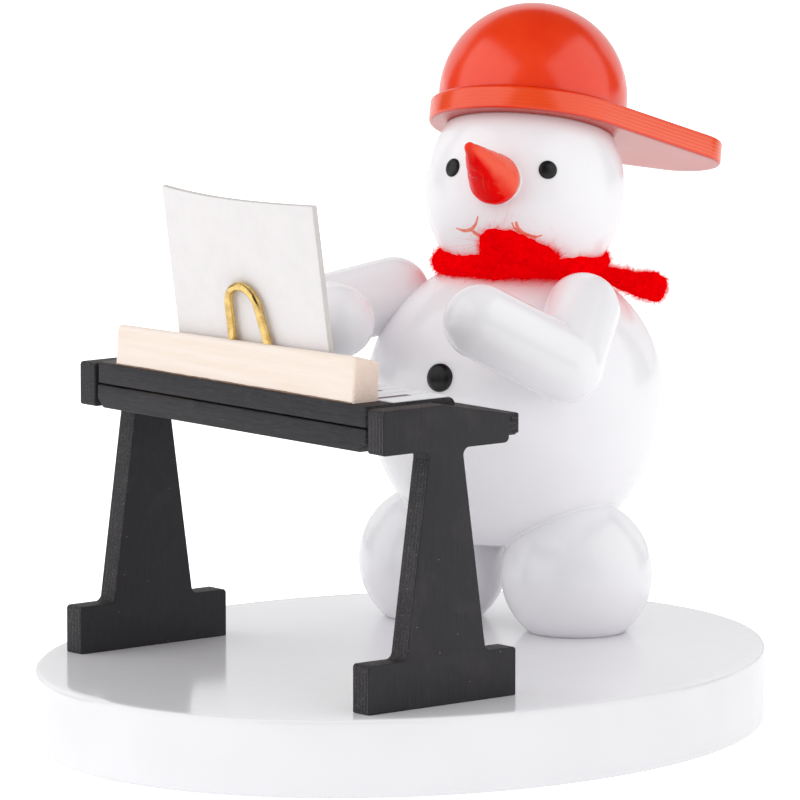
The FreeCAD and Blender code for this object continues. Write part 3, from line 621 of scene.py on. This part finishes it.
def paper(name, tone, fibre):
    """Uncoated card or paper: fibre clouds and a fine tooth."""
    return mottled(name, tone, scaled(tone, fibre), 2.4, 0.35, 0.7, 5, 0.65,
                   tooth=((0.12, 0.02), (1.1, 0.03)), Roughness=0.75,
                   Specular_IOR_Level=0.25).material


def brass():
    look = mottled("brass_wire", (0.86, 0.62, 0.23), (0.58, 0.36, 0.11), 0.9, 0.4, 0.75, 4,
                   rough=(0.16, 0.34), Metallic=1)
    drawn = look.place(STAND, (1, 1, 0.15))
    look.bump(look.noise(drawn, 0.12, 2), 0.012)
    return look.material


def wool(name="red_wool", lift=1):
    """Felted red wool with no shine; its dark patches are its own tone and painted shade."""
    # painted glow: both wool finishes give off a faint red light of their own, so the scarf reads
    # brighter
    return mottled(name, (0.5 * lift, 0, 0), (0.97 * lift, 0, 0.002), 0.55, 0.3, 0.7,
                   5, 0.7, Matrix(), relief=0.25, tooth=((0.15, 0.08),), Roughness=0.95,
                   Specular_IOR_Level=0, Emission_Strength=0.3,
                   Emission_Color=(1, 0, 0.004, 1)).material


def black_gloss():
    return mottled("black_gloss", (0.006, 0.006, 0.007), (0.018, 0.017, 0.019), 0.8, 0.4, 0.7,
                   matrix=Matrix(), rough=(0.3, 0.38), relief=0.02, IOR=1.4).material


def mouth_paint():
    """Thin brushed orange-red, a little streaky."""
    return mottled("mouth_paint", (0.84, 0.2, 0.12), (0.9, 0.32, 0.22), 0.3, 0.4, 0.65,
                   matrix=Matrix(), relief=0.02, Roughness=0.4).material


def printed(name, tone):
    return mottled(name, tone, scaled(tone, 1.35), 0.25, 0.35, 0.7, Roughness=0.5).material


def glue():
    return mottled("glue_line", (0.16, 0.09, 0.06), (0.3, 0.19, 0.13), 1.2, 0.4, 0.7,
                   Roughness=0.35).material


def floor_paint():
    look = Finish("studio_floor", Roughness=0.9, Specular_IOR_Level=0.1)
    look.mix(look.noise(look.place(), 60), (0.93, 0.93, 0.93), (0.95, 0.95, 0.95))
    seen = look.node("LightPath", "Is Camera Ray", {})
    look.feed(look.remap(seen, 0, 1, FLOOR_GLOW, FLOOR_SEEN), "Emission Strength")
    return look.material


# ---------- base and turned pieces

def make_base(coat):
    low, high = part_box("base_plate")

    def oval(inset):
        return [((high.x - inset) * cos(a), (high.y - inset) * sin(a)) for a in turns(256)]

    bm = plate(oval, low.z, high.z, BASE_RIM, inner=(1, 4, 12, 22))
    piece("base_oval", bm, coat, "white_lacquer", "base_plate")


def foot_ball(side):
    """Centre, radius and flat underside's height of a ball foot."""
    low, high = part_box("foot_" + side)
    centre = (low + high) / 2
    centre.z = FOOT_HEIGHT
    return centre, FOOT_SWELL * (high.x - low.x) / 2, low.z


def make_feet(coat):
    for side in ("left", "right"):
        centre, radius, floor = foot_ball(side)
        sunk = degrees(asin((FOOT_HEIGHT - floor) / radius))
        profile = [(FOOT_SOLE * radius, floor)]
        profile += arc(radius, radius, -sunk, 89, 60, FOOT_HEIGHT)
        bm = lathe(profile, Matrix.Translation((centre.x, centre.y, 0)))
        roughen(bm, 0.02, 6, 3)
        piece("foot_ball_" + side, bm, coat, "white_lacquer", "foot_" + side)


def in_body(place):
    off = place - BODY_CENTRE
    off.z *= BODY_RADIUS / BELLY_DROP
    return place.z > BODY_FLOOR and off.length < BODY_RADIUS


def make_seams(coat):
    """Lacquer gathered in the seam between the body and each foot."""
    for side in ("left", "right"):
        centre, radius, _ = foot_ball(side)
        seat = aim(centre, BODY_CENTRE - centre)
        seam = []
        for turn in turns(80):
            near, far = 0, 2
            for _ in range(20):
                lean = (near + far) / 2
                out = Vector((cos(turn), sin(turn), 0)) * sin(lean)
                place = seat @ ((out + UP * cos(lean)) * radius)
                near, far = (lean, far) if in_body(place) else (near, lean)
            seam.append(place)
        bead("foot_bead_" + side, seam, 0.25, 0.07, 2.5, coat, "white_lacquer")


def make_body(coat):
    floor = degrees(asin((WAIST - BODY_FLOOR) / BELLY_DROP))
    neck = degrees(asin((BODY_HIGH.z - WAIST) / CHEST_RISE))
    profile = arc(BODY_RADIUS, BELLY_DROP, -floor, 0, 60, WAIST)[:-1]
    profile += arc(BODY_RADIUS, CHEST_RISE, 0, neck, 50, WAIST)
    bm = lathe(profile, Matrix.Translation((BODY_CENTRE.x, BODY_CENTRE.y, 0)), 200)
    roughen(bm, 0.03, 9, 1)
    piece("body_turned", bm, coat, "white_lacquer", "body")


def make_head(coat):
    seat = degrees(asin(HEAD_HIGH.z / HEAD_RISE))
    bm = lathe(arc(HEAD_RADIUS, HEAD_RISE, -80, seat, 90), HEAD, 200)
    roughen(bm, 0.025, 8, 2)
    cut(bm, (0, 0, BODY_HIGH.z), -UP)
    piece("head_turned", bm, coat, "white_lacquer", "head")


def head_point(turn, lift, above=0):
    """Point over the head, by degrees from straight ahead and above its waist."""
    turn, lift = radians(turn), radians(lift)
    ray = Vector((cos(turn) * cos(lift), sin(turn) * cos(lift), sin(lift)))
    place = ray / hypot(ray.x / HEAD_RADIUS, ray.y / HEAD_RADIUS, ray.z / HEAD_RISE)
    normal = Vector((place.x / HEAD_RADIUS ** 2, place.y / HEAD_RADIUS ** 2,
                     place.z / HEAD_RISE ** 2)).normalized()
    return HEAD @ (place + normal * above)


def make_pins(coat):
    """Domed pins, each in the frame of its own CAD solid: the furthest point is the crown."""
    for node, centre, radius, dome in (
            ("belly_button", BODY_CENTRE, BUTTON_RADIUS, 0.8 * MM),
            ("eye_left", HEAD_CENTRE, EYE_RADIUS, 0.42 * MM),
            ("eye_right", HEAD_CENTRE, EYE_RADIUS, 0.42 * MM)):
        points = cad_points(node)
        crown = max(points, key=lambda p: (p - centre).length)
        shank = min(points, key=lambda p: (p - centre).length)
        inner = [p for p in points if (p - shank).length < 1 * MM]
        seat = aim(crown, crown - sum(inner, Vector()) / len(inner))
        profile = [(radius * 0.97, -1.3 * dome)] + arc(radius, dome, -12, 0, 3, -dome)
        profile += arc(radius, dome, 8, 89, 16, -dome)
        bm = lathe(profile, seat, 64)
        roughen(bm, 0.03, 1.2, centre.x / MM)
        piece(node + "_pin", bm, coat, "black_gloss", node)


def make_nose():
    along = heading(NOSE_TURN, NOSE_RISE)
    point = max(cad_points("nose"), key=lambda p: p.dot(along))
    seat = aim(point - along * (NOSE_REACH + NOSE_TIP), along)
    slope = degrees(asin((NOSE_RADIUS - NOSE_TIP) / NOSE_REACH))
    bulb = arc(NOSE_RADIUS, NOSE_RADIUS, -88, slope, 40)
    tip = arc(NOSE_TIP, NOSE_TIP, slope, 88, 12, NOSE_REACH)
    start, end = np.array(bulb[-1]), np.array(tip[0])
    flank = [start + (end - start) * f for f in np.linspace(0, 1, 26)[1:-1]]
    bm = lathe(bulb + flank + tip, seat, 96)
    roughen(bm, 0.1, 1.8, 4)
    piece("nose_carrot", bm, nose_lacquer(seat), "nose_lacquer", "nose")


def make_meniscus(coat):
    """Bead of white lacquer in the corner between the nose and the head."""
    across = MENISCUS_RADIUS * DEGREES_PER_MM
    around = []
    for angle in turns(72):
        turn = NOSE_SIDE + across * cos(angle) / cos(radians(NOSE_DROP))
        around.append(head_point(turn, across * sin(angle) - NOSE_DROP, 0.02 * MM))
    bead("nose_bead", around, 0.2, 0.07, 1.5, coat, "white_lacquer")


# ---------- cap

def make_cap(coat):
    low, high = local_box("cap_brim", CAP)
    radius, reach = -low.x, high.x - VISOR_RADIUS
    lean = acos((radius - VISOR_RADIUS) / reach)

    def outline(inset):
        around = [(0, radius - inset, a) for a in np.linspace(lean, 2 * pi - lean, 150)]
        around += [(reach, VISOR_RADIUS - inset, a) for a in np.linspace(-lean, lean, 50)]
        return [(x + r * cos(a), r * sin(a)) for x, r, a in around]

    bm = plate(outline, low.z, high.z, CAP_RIM, CAP, inner=(0.6, 1.6, 3.2))
    roughen(bm, 0.02, 5, 5)
    piece("cap_plate", bm, coat, "cap_lacquer", "cap_brim")

    low, high = local_box("cap_dome", CAP)
    radius = (high.y - low.y) / 2
    profile = [(radius - CAP_RIM + r, z) for r, z in arc(CAP_RIM, CAP_RIM, -90, 0, 5,
                                                         low.z + CAP_RIM)]
    profile += arc(radius, radius, 0, 89, 90, high.z - radius)
    bm = lathe(profile, CAP, 220)
    roughen(bm, 0.02, 7, 6)
    piece("cap_crown", bm, coat, "cap_lacquer", "cap_dome")


# ---------- arms

def make_rod(name, node, start, end, elbow, normal):
    """Round-ended rod cut off square to the mitre, its cut rim eased."""
    length = (end - start).length
    profile = arc(ARM_RADIUS, ARM_RADIUS, -89, 0, 30)
    profile += [(ARM_RADIUS, length * f) for f in (0.25, 0.5, 0.75)]
    profile += arc(ARM_RADIUS, ARM_RADIUS, 0, 89, 30, length)
    seat = aim(start, end - start)
    bm = lathe(profile, seat, 128)
    roughen(bm, 0.03, 5, elbow.x / MM)
    ease(bm, cut(bm, elbow, normal), 0.04, 1, True)
    piece(name, bm, white_lacquer("white_" + name, seat), "white_lacquer", node, smooth=35)


def make_arms():
    for side, shoulder, elbow, hand in ARMS:
        normal = ((elbow - shoulder).normalized() + (hand - elbow).normalized()).normalized()
        make_rod("sleeve_" + side, "upper_arm_" + side, shoulder, elbow, elbow, normal)
        make_rod("lower_arm_" + side, "forearm_" + side, elbow, hand, elbow, -normal)


# ---------- stand and keyboard

def rounded(corners, radii, steps=5):
    """Outline with each corner replaced by an arc of its own radius."""
    points = []
    for i, radius in enumerate(radii):
        here = Vector(corners[i])
        if radius == 0:
            points.append(tuple(here))
            continue
        before = (Vector(corners[i - 1]) - here).normalized()
        after = (Vector(corners[(i + 1) % len(corners)]) - here).normalized()
        half = before.angle(after) / 2
        reach = radius / tan(half)
        centre = here + (before + after).normalized() * (radius / sin(half))
        start, end = here + before * reach - centre, here + after * reach - centre
        for f in np.linspace(0, 1, steps + 1):
            points.append(tuple(centre + start.lerp(end, f).normalized() * radius))
    return points


def board(name, bm, coat, slot, *nodes):
    """Piece drawn in the stand's own frame."""
    bmesh.ops.transform(bm, matrix=STAND, verts=bm.verts)
    piece(name, bm, coat, slot, *nodes, smooth=40)


def make_sides(coat):
    for side, middle in POST_MIDDLE:
        node = "stand_side_" + side
        low, high = local_box(node, STAND)
        top = (high.z - low.z) / MM
        corners = ((FOOT_BACK, 0), (FOOT_FRONT, 0), (FOOT_FRONT, FOOT_RISE),
                   (middle + POST_LOW / 2, FOOT_RISE), (middle + POST_HIGH / 2, RAIL_LOW),
                   (RAIL_FRONT, RAIL_LOW), (RAIL_FRONT, RAIL_NOSE), (RAIL_TAPER, top),
                   (RAIL_BACK, top), (RAIL_BACK, RAIL_LOW),
                   (middle - POST_HIGH / 2, RAIL_LOW), (middle - POST_LOW / 2, FOOT_RISE),
                   (FOOT_BACK, FOOT_RISE))
        outline = rounded([(y * MM, low.z + z * MM) for y, z in corners],
                          [r * MM for r in SIDE_CORNERS])
        bm = prism(outline, low.x, high.x, (1, 2, 0), 0.13)
        board("side_panel_" + side, bm, coat, "black_stain", node)


def end_gap(bm, low, high):
    """Boards stop short of the side panels, on tongues that reach them."""
    middle = (low.x + high.x) / 2
    scale = 1 - 2 * BOARD_GAP / (high.x - low.x)
    for vert in bm.verts:
        vert.co.x = middle + (vert.co.x - middle) * scale
    inset = Vector((0, 0.9, 0.7)) * MM
    low, high = low + inset, high - inset
    for vert in bmesh.ops.create_cube(bm, size=1)["verts"]:
        vert.co = [(a + b) / 2 + (b - a) * c for a, b, c in zip(low, high, vert.co)]


def make_shelf(coat):
    """Lower board: its lower corners cut off at the ends, and rubbed away in front."""
    low, high = local_box("shelf_board", STAND)
    left, right = low.x + SHELF_CUT, high.x - SHELF_CUT
    outline = ((low.x, high.z), (low.x, low.z + SHELF_CUT), (left, low.z), (right, low.z),
               (high.x, low.z + SHELF_CUT), (high.x, high.z))
    bm = prism(outline, low.y, high.y, (0, 2, 1), 0.24)
    end_gap(bm, low, high)
    for vert in bm.verts:
        spot = vert.co
        at_end = max(left - spot.x, spot.x - right) > -0.3 * MM
        if at_end and spot.y > high.y - SHELF_CUT and spot.z < low.z + 1.3 * SHELF_CUT:
            spot.z = low.z + (spot.z - low.z) * 0.4
    board("shelf_plank", bm, coat, "black_stain", "shelf_board")


def make_keyboard(coat):
    """Upper board: a rounded nose towards the player, its back corners cut off."""
    low, high = local_box("keyboard_body", STAND)
    low.z += BOARD_LIFT
    bm = bmesh.new()
    outline = ((low.x + BOARD_RELIEF, low.y), (high.x - BOARD_RELIEF, low.y),
               (high.x, low.y + BOARD_RELIEF), (high.x, high.y), (low.x, high.y),
               (low.x, low.y + BOARD_RELIEF))
    upright(bm, outline, low.z, high.z)
    front = [e for e in bm.edges if all(abs(v.co.y - high.y) < 1e-6 and
                                        abs(v.co.z - high.z) < 1e-6 for v in e.verts)]
    ease(bm, front, BOARD_NOSE, 8)
    ease(bm, sharp_edges(bm), 0.22, 3)
    end_gap(bm, low, high)
    board("keyboard_plank", bm, coat, "black_stain", "keyboard_body")


def make_keys(coat, sharp_ink, line_ink):
    """Printed keyboard: naturals parted by thin lines, sharps as bars from the back."""
    low, high = local_box("key_sheet", STAND)
    outline = rectangle(low.x, high.x, low.z, high.z)
    bm = prism(outline, low.y, high.y, (0, 2, 1), 0.03, 2)
    board("key_paper_strip", bm, coat, "key_paper", "key_sheet")
    lines, sharps = bmesh.new(), bmesh.new()
    edge, index = high.x - LAST_KEY, 0
    while edge > low.x + 1 * MM:
        upright(lines, rectangle(edge - LINE_HALF, edge + LINE_HALF, low.y,
                                 high.y - LINE_HALF), high.z, high.z + INK)
        if SHARP_PATTERN[index % len(SHARP_PATTERN)]:
            upright(sharps, rectangle(edge - SHARP_WIDE / 2, edge + SHARP_WIDE / 2, low.y,
                                      low.y + SHARP_LONG), high.z, high.z + 2 * INK)
        edge -= KEY_WIDE
        index += 1
    board("key_lines", lines, line_ink, "key_paper")
    board("key_sharps", sharps, sharp_ink, "key_paper")


# ---------- music holder

def make_holder(coat, glue_coat):
    """Block sawn by hand and sanded round; the card's slot in its top comes from the CAD."""
    points = cad_points("music_block", STAND)
    bm = bmesh.new()
    ends = []
    for side in (-1, 1):
        ends.append([])
        for ahead, up in rectangle(-1, 1, -1, 1):
            out = Vector((side, ahead, up))
            corner = max(points, key=lambda p: p.dot(out))
            ends[-1].append(bm.verts.new(STAND @ (corner + out * 0.09 * MM)))
    close_prism(bm, *ends)
    bmesh.ops.recalc_face_normals(bm, faces=bm.faces)
    foot = [end[i] for end in ends for i in (0, 1)]
    ease(bm, [e for e in bm.edges if not all(v in foot for v in e.verts)], 0.6, 6)
    blank = link("rounded_block", to_mesh("rounded_block", bm))
    slot = blank.modifiers.new("slot", "BOOLEAN")
    slot.operation, slot.solver, slot.object = "INTERSECT", "EXACT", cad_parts["music_block"]
    shape = blank.evaluated_get(bpy.context.evaluated_depsgraph_get())
    bm = bmesh.new()
    bm.from_mesh(bpy.data.meshes.new_from_object(shape))
    bpy.data.objects.remove(blank)
    piece("holder_block", bm, coat, "raw_wood", "music_block", smooth=30)

    low, high = local_box("music_block", STAND)
    seam = [(low.x + 0.4 * MM + (high.x - low.x - 0.9 * MM) * f, low.y - 0.02 * MM,
             low.z + 0.04 * MM) for f in np.linspace(0, 1, 60)]
    bead("glue_bead", seam, 0.1, 0.05, 1.7, glue_coat, "raw_wood", 10, STAND)


def make_wire(coat):
    """Brass arch on two legs that lean together, drawn along its own centre line."""
    leaning = STAND @ rotation(WIRE_LEAN, "X")
    low, high = local_box("wire_loop", leaning)
    middle = (low + high) / 2
    half, foot = (high.x - low.x) / 2 - WIRE_RADIUS, low.z
    centre = high.z - WIRE_RADIUS - WIRE_BEND
    sweep = atan2(foot - centre, half) + acos(WIRE_BEND / hypot(half, foot - centre))
    bend = [(middle.x + WIRE_BEND * cos(a), centre + WIRE_BEND * sin(a))
            for a in np.linspace(sweep, pi - sweep, 32)]
    start = middle.x + half
    right = [(start + (bend[0][0] - start) * f, foot + (bend[0][1] - foot) * f)
             for f in np.linspace(0, 1, 12)[:-1]]
    left = [(2 * middle.x - x, z) for x, z in right[::-1]]
    path = [(x, middle.y, z) for x, z in right + bend + left]
    bm = tube(path, [WIRE_RADIUS] * len(path), 24, leaning)
    roughen(bm, 0.025, 0.9, 8)
    piece("wire_arch", bm, coat, "brass_wire", "wire_loop")


def make_card(coat, edge_coat):
    """Card: flat in the slot and bowed away from the player towards its top edge."""
    low, high = local_box("music_card", CARD)
    wide, tall = high.x - low.x, high.z - low.z
    columns, rows = 48, 40

    def bow(x, z):
        rise = max(0, (z - low.z - CARD_TONGUE) / (tall - CARD_TONGUE))
        return CARD_BOW * rise * (1 - (2 * (x - low.x) / wide - 1) ** 2)

    def point(c, r, depth):
        x, z = low.x + wide * c / columns, low.z + tall * r / rows
        wave = noise.noise(Vector((x, 0, z)) / (7 * MM)) * 0.04 * MM
        return bm.verts.new((x, depth - bow(x, z) + wave, z))

    bm = bmesh.new()
    back, front = [[[point(c, r, depth) for c in range(columns + 1)] for r in range(rows + 1)]
                   for depth in (high.y - CARD_THICK, high.y)]
    for sheet, order in ((back, 1), (front, -1)):
        for r in range(rows):
            for c in range(columns):
                bm.faces.new((sheet[r][c], sheet[r][c + 1], sheet[r + 1][c + 1],
                              sheet[r + 1][c])[::order])
    rim = [(0, c) for c in range(columns)] + [(r, columns) for r in range(rows)]
    rim += [(rows - r, columns - c) for r, c in rim]
    for (r, c), (s, d) in pairs(rim):
        bm.faces.new((back[r][c], back[s][d], front[s][d], front[r][c]))
    bmesh.ops.recalc_face_normals(bm, faces=bm.faces)
    ease(bm, sharp_edges(bm, 50), 0.07, 2)
    bmesh.ops.transform(bm, matrix=CARD, verts=bm.verts)
    card = piece("card_sheet", bm, coat, "card", "music_card", smooth=40, body="card")
    card.data.materials.append(edge_coat)
    across = CARD.to_3x3() @ Vector((0, 1, 0))
    for face in card.data.polygons:
        if abs(face.normal.dot(across)) < 0.75:
            face.material_index = 1


# ---------- scarf

def smooth_path(points, steps, closed=False):
    """Catmull-Rom curve through a few given points."""
    points = [Vector(p) for p in points]
    count = len(points)
    path = []
    for i in range(count if closed else count - 1):
        a, b, c, d = (points[k % count] if closed else points[min(max(k, 0), count - 1)]
                      for k in (i - 1, i, i + 1, i + 2))
        for f in np.arange(steps) / steps:
            path.append(0.5 * (2 * b + (c - a) * f + (2 * a - 5 * b + 4 * c - d) * f ** 2
                               + (3 * b - a - 3 * c + d) * f ** 3))
    return path if closed else path + [points[-1]]


def strand(name, path, radii, node, coat):
    """Felted strand: a lumpy skin, which gives back its points and normals."""
    bm = tube(path, radii, 40)
    bmesh.ops.subdivide_edges(bm, edges=bm.edges, cuts=1, use_grid_fill=True)
    bm.normal_update()
    for vert in bm.verts:
        place = vert.co / MM
        lumps = noise.noise(place / 1.5) * 0.24 + noise.noise(place / 0.55) * 0.17
        tufts = noise.noise(place / 0.2 + Vector((5, 0, 0))) * 0.1
        vert.co += vert.normal * (lumps + tufts) * MM
    mesh = piece(name, bm, coat, "red_wool", node, smooth=180).data
    return np.array([(v.co, v.normal) for v in mesh.vertices])


def unit(vectors):
    return vectors / np.linalg.norm(vectors, axis=1)[:, None]


def fibres(roots, coat, name, count, length, radius, lift, curl, sections):
    """Loose fibres: thin three-sided hairs that bend as they leave the wool."""
    picks = RNG.integers(0, len(roots), count)
    place, out = roots[picks, 0], roots[picks, 1]
    direction = unit(out * lift + RNG.normal(size=(count, 3)) * (1 - lift))
    stride = (RNG.uniform(*length, count) * MM / sections)[:, None]
    bends = [RNG.normal(size=(count, 3)) * curl / sections for _ in range(2)]
    centres = [place - out * 0.1 * MM]
    for step in range(sections):
        direction = unit(direction + bends[step >= sections / 2])
        place = place + direction * stride
        centres.append(place)
    centres = np.stack(centres, axis=1)
    along = centres[:, 1] - centres[:, 0]
    side = unit(np.cross(along, RNG.normal(size=(count, 3))))
    other = unit(np.cross(along, side))
    taper = np.linspace(1, 0.35, sections + 1) * radius * MM
    spokes = [side * cos(a) + other * sin(a) for a in turns(3)]
    verts = np.stack([centres + spoke[:, None, :] * taper[None, :, None] for spoke in spokes],
                     axis=2)
    one = [(s * 3 + i, s * 3 + (i + 1) % 3, (s + 1) * 3 + (i + 1) % 3, (s + 1) * 3 + i)
           for s in range(sections) for i in range(3)]
    first = np.arange(count)[:, None, None] * (sections + 1) * 3
    mesh = bpy.data.meshes.new(name)
    mesh.from_pydata(verts.reshape(-1, 3).tolist(), [],
                     (first + np.array(one)).reshape(-1, 4).tolist())
    mesh.shade_smooth()
    piece(name, mesh, coat, "red_wool")


def make_scarf(coat, hair_coat):
    """The strand is wound once round the neck, looped over itself in front, and its end
    sticks out behind the left shoulder."""
    around = []
    for turn in range(0, 360, 20):
        wave = 0.25 * sin(radians(2 * turn + 40)) * MM
        around.append(SCARF_CENTRE + heading(turn) * SCARF_RING + UP * wave)
    path = smooth_path(around, 6, closed=True)
    radii = [SCARF_THICK * (1 + 0.08 * sin(i * 0.35)) for i in range(len(path))]
    skins = [strand("scarf_wound", path + path[:2], radii + radii[:2], "scarf_loop", coat)]

    front, side = heading(KNOT_TURN), heading(KNOT_TURN + 90)
    away = heading(TAIL_TURN)
    begin = SCARF_CENTRE + away * (SCARF_RING - 0.3 * MM) - UP * 1.6 * MM
    knot = [SCARF_CENTRE + front * (SCARF_RING + a * MM) + side * (b * MM) + UP * (c * MM)
            for a, b, c, _ in KNOT_LINE]
    tail = [begin + away * (a * MM) - UP * (b * MM) for a, b in TAIL_LINE]
    even = np.linspace(0, 1, len(KNOT_LINE))
    for name, node, line, (marks, thick) in (
            ("scarf_lump", "scarf_knot", knot, (even, [row[3] for row in KNOT_LINE])),
            ("scarf_end", "scarf_tail", tail, TAIL_THICK)):
        path = smooth_path(line, 8)
        radii = SCARF_THICK * np.interp(np.linspace(0, 1, len(path)), marks, thick)
        skins.append(strand(name, path, radii, node, coat))

    roots = np.concatenate(skins)
    for row in WOOL:
        fibres(roots, hair_coat, *row)


# ---------- mouth and hidden pegs

def make_mouth(coat):
    """Brush strokes on the head: thin domed ribbons that follow its surface."""
    for index, (line, widths) in enumerate(MOUTH):
        path = smooth_path([(turn, lift, 0) for turn, lift in line], 8)
        spread = np.interp(np.linspace(0, 1, len(path)), np.linspace(0, 1, len(widths)), widths)
        rings = []
        for i, spot in enumerate(path):
            run = (path[min(i + 1, len(path) - 1)] - path[max(i - 1, 0)]).normalized()
            across = Vector((-run.y, run.x, 0)) * float(spread[i]) * DEGREES_PER_MM / 2
            rings.append([])
            for f, height in STROKE:
                ragged = 1 + 0.3 * noise.noise(Vector((i * 0.5, f * 2, index)))
                place = spot + across * (f * ragged)
                rings[-1].append(head_point(place.x, place.y, height * MM))
        piece("mouth_stroke_%d" % (index + 1), rings_to_bmesh(rings), coat, "nose_lacquer")


def dress_dowels(coat):
    """The dowels stay as the CAD made them."""
    for node in ("neck_dowel", "cap_dowel"):
        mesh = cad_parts[node].data
        mesh.materials.clear()
        mesh.materials.append(coat)


# ---------- studio

def look_along(item, target, azimuth, elevation, distance):
    """Stand an object off a target, facing it."""
    out = heading(azimuth, elevation)
    item.location = target + out * distance
    item.rotation_euler = out.to_track_quat("Z", "Y").to_euler()


def make_lights():
    for name, spot, size, power, diffuse in LIGHTS:
        data = bpy.data.lights.new(name, "AREA")
        data.shape, data.energy = "RECTANGLE", power
        data.size, data.size_y = size
        item = link(name, data)
        look_along(item, LIGHT_TARGET, *spot)
        item.visible_diffuse = diffuse


def make_studio():
    """White world and floor: brighter to the camera than to the object."""
    world = bpy.data.worlds.new("studio")
    world.use_nodes = True
    tree = world.node_tree
    inputs = tree.nodes["Background"].inputs
    inputs["Color"].default_value = (1, 1, 1, 1)
    seen = add_node(tree, "LightPath", "Is Camera Ray", {})
    strength = add_node(tree, "MapRange", "Result", {"Value": seen, "To Min": AMBIENT})
    tree.links.new(strength, inputs["Strength"])
    bpy.context.scene.world = world
    world.cycles_visibility.glossy = False

    bm = bmesh.new()
    bmesh.ops.create_circle(bm, cap_ends=True, radius=FLOOR_RADIUS, segments=96)
    floor = link("studio_floor", to_mesh("studio_floor", bm))
    floor.data.materials.append(floor_paint())
    floor.location.z = CAD_BOX[0][2] - FLOOR_DROP

    view = bpy.context.scene.view_settings
    view.view_transform, view.look = "Standard", "None"


def make_camera():
    data = bpy.data.cameras.new("camera")
    data.lens, data.sensor_width = CAMERA_LENS, SENSOR
    data.clip_start, data.clip_end = 0.05, 20
    camera = link("camera", data)
    look_along(camera, CAMERA_TARGET, *CAMERA_SPOT)
    bpy.context.scene.camera = camera


make_camera()
make_lights()
make_studio()

white = white_lacquer()
# base: its upward faces are painted lighter than its rim (top 1.07), a painted highlight
make_base(white_lacquer("white_base", rotation(90, "X"), 0.94, 0.12, 1.07))
make_feet(white)
make_body(white)
make_seams(white)
make_head(white)
make_pins(black_gloss())
make_nose()
make_meniscus(white)
make_cap(cap_lacquer())
make_arms()
make_sides(black_stain("black_sides", "Z", "X", 0.25))
black_boards = black_stain("black_boards", "X", "Z", 0.7)
make_shelf(black_boards)
make_keyboard(black_boards)
make_keys(paper("key_paper", (0.86, 0.86, 0.89), 0.95),
          printed("sharp_ink", (0.16, 0.12, 0.14)), printed("line_ink", (0.5, 0.49, 0.52)))
make_holder(raw_wood("raw_wood", (0.86, 0.76, 0.69), (0.82, 0.69, 0.59)), glue())
make_wire(brass())
make_card(paper("card_face", (0.79, 0.765, 0.77), 0.96),
          paper("card_edge", (0.66, 0.63, 0.61), 0.9))
make_scarf(wool(), wool("wool_hair", 1.05))
make_mouth(mouth_paint())
dress_dowels(raw_wood("dowel_wood", (0.8, 0.66, 0.47), (0.7, 0.54, 0.36), "Z", Matrix()))
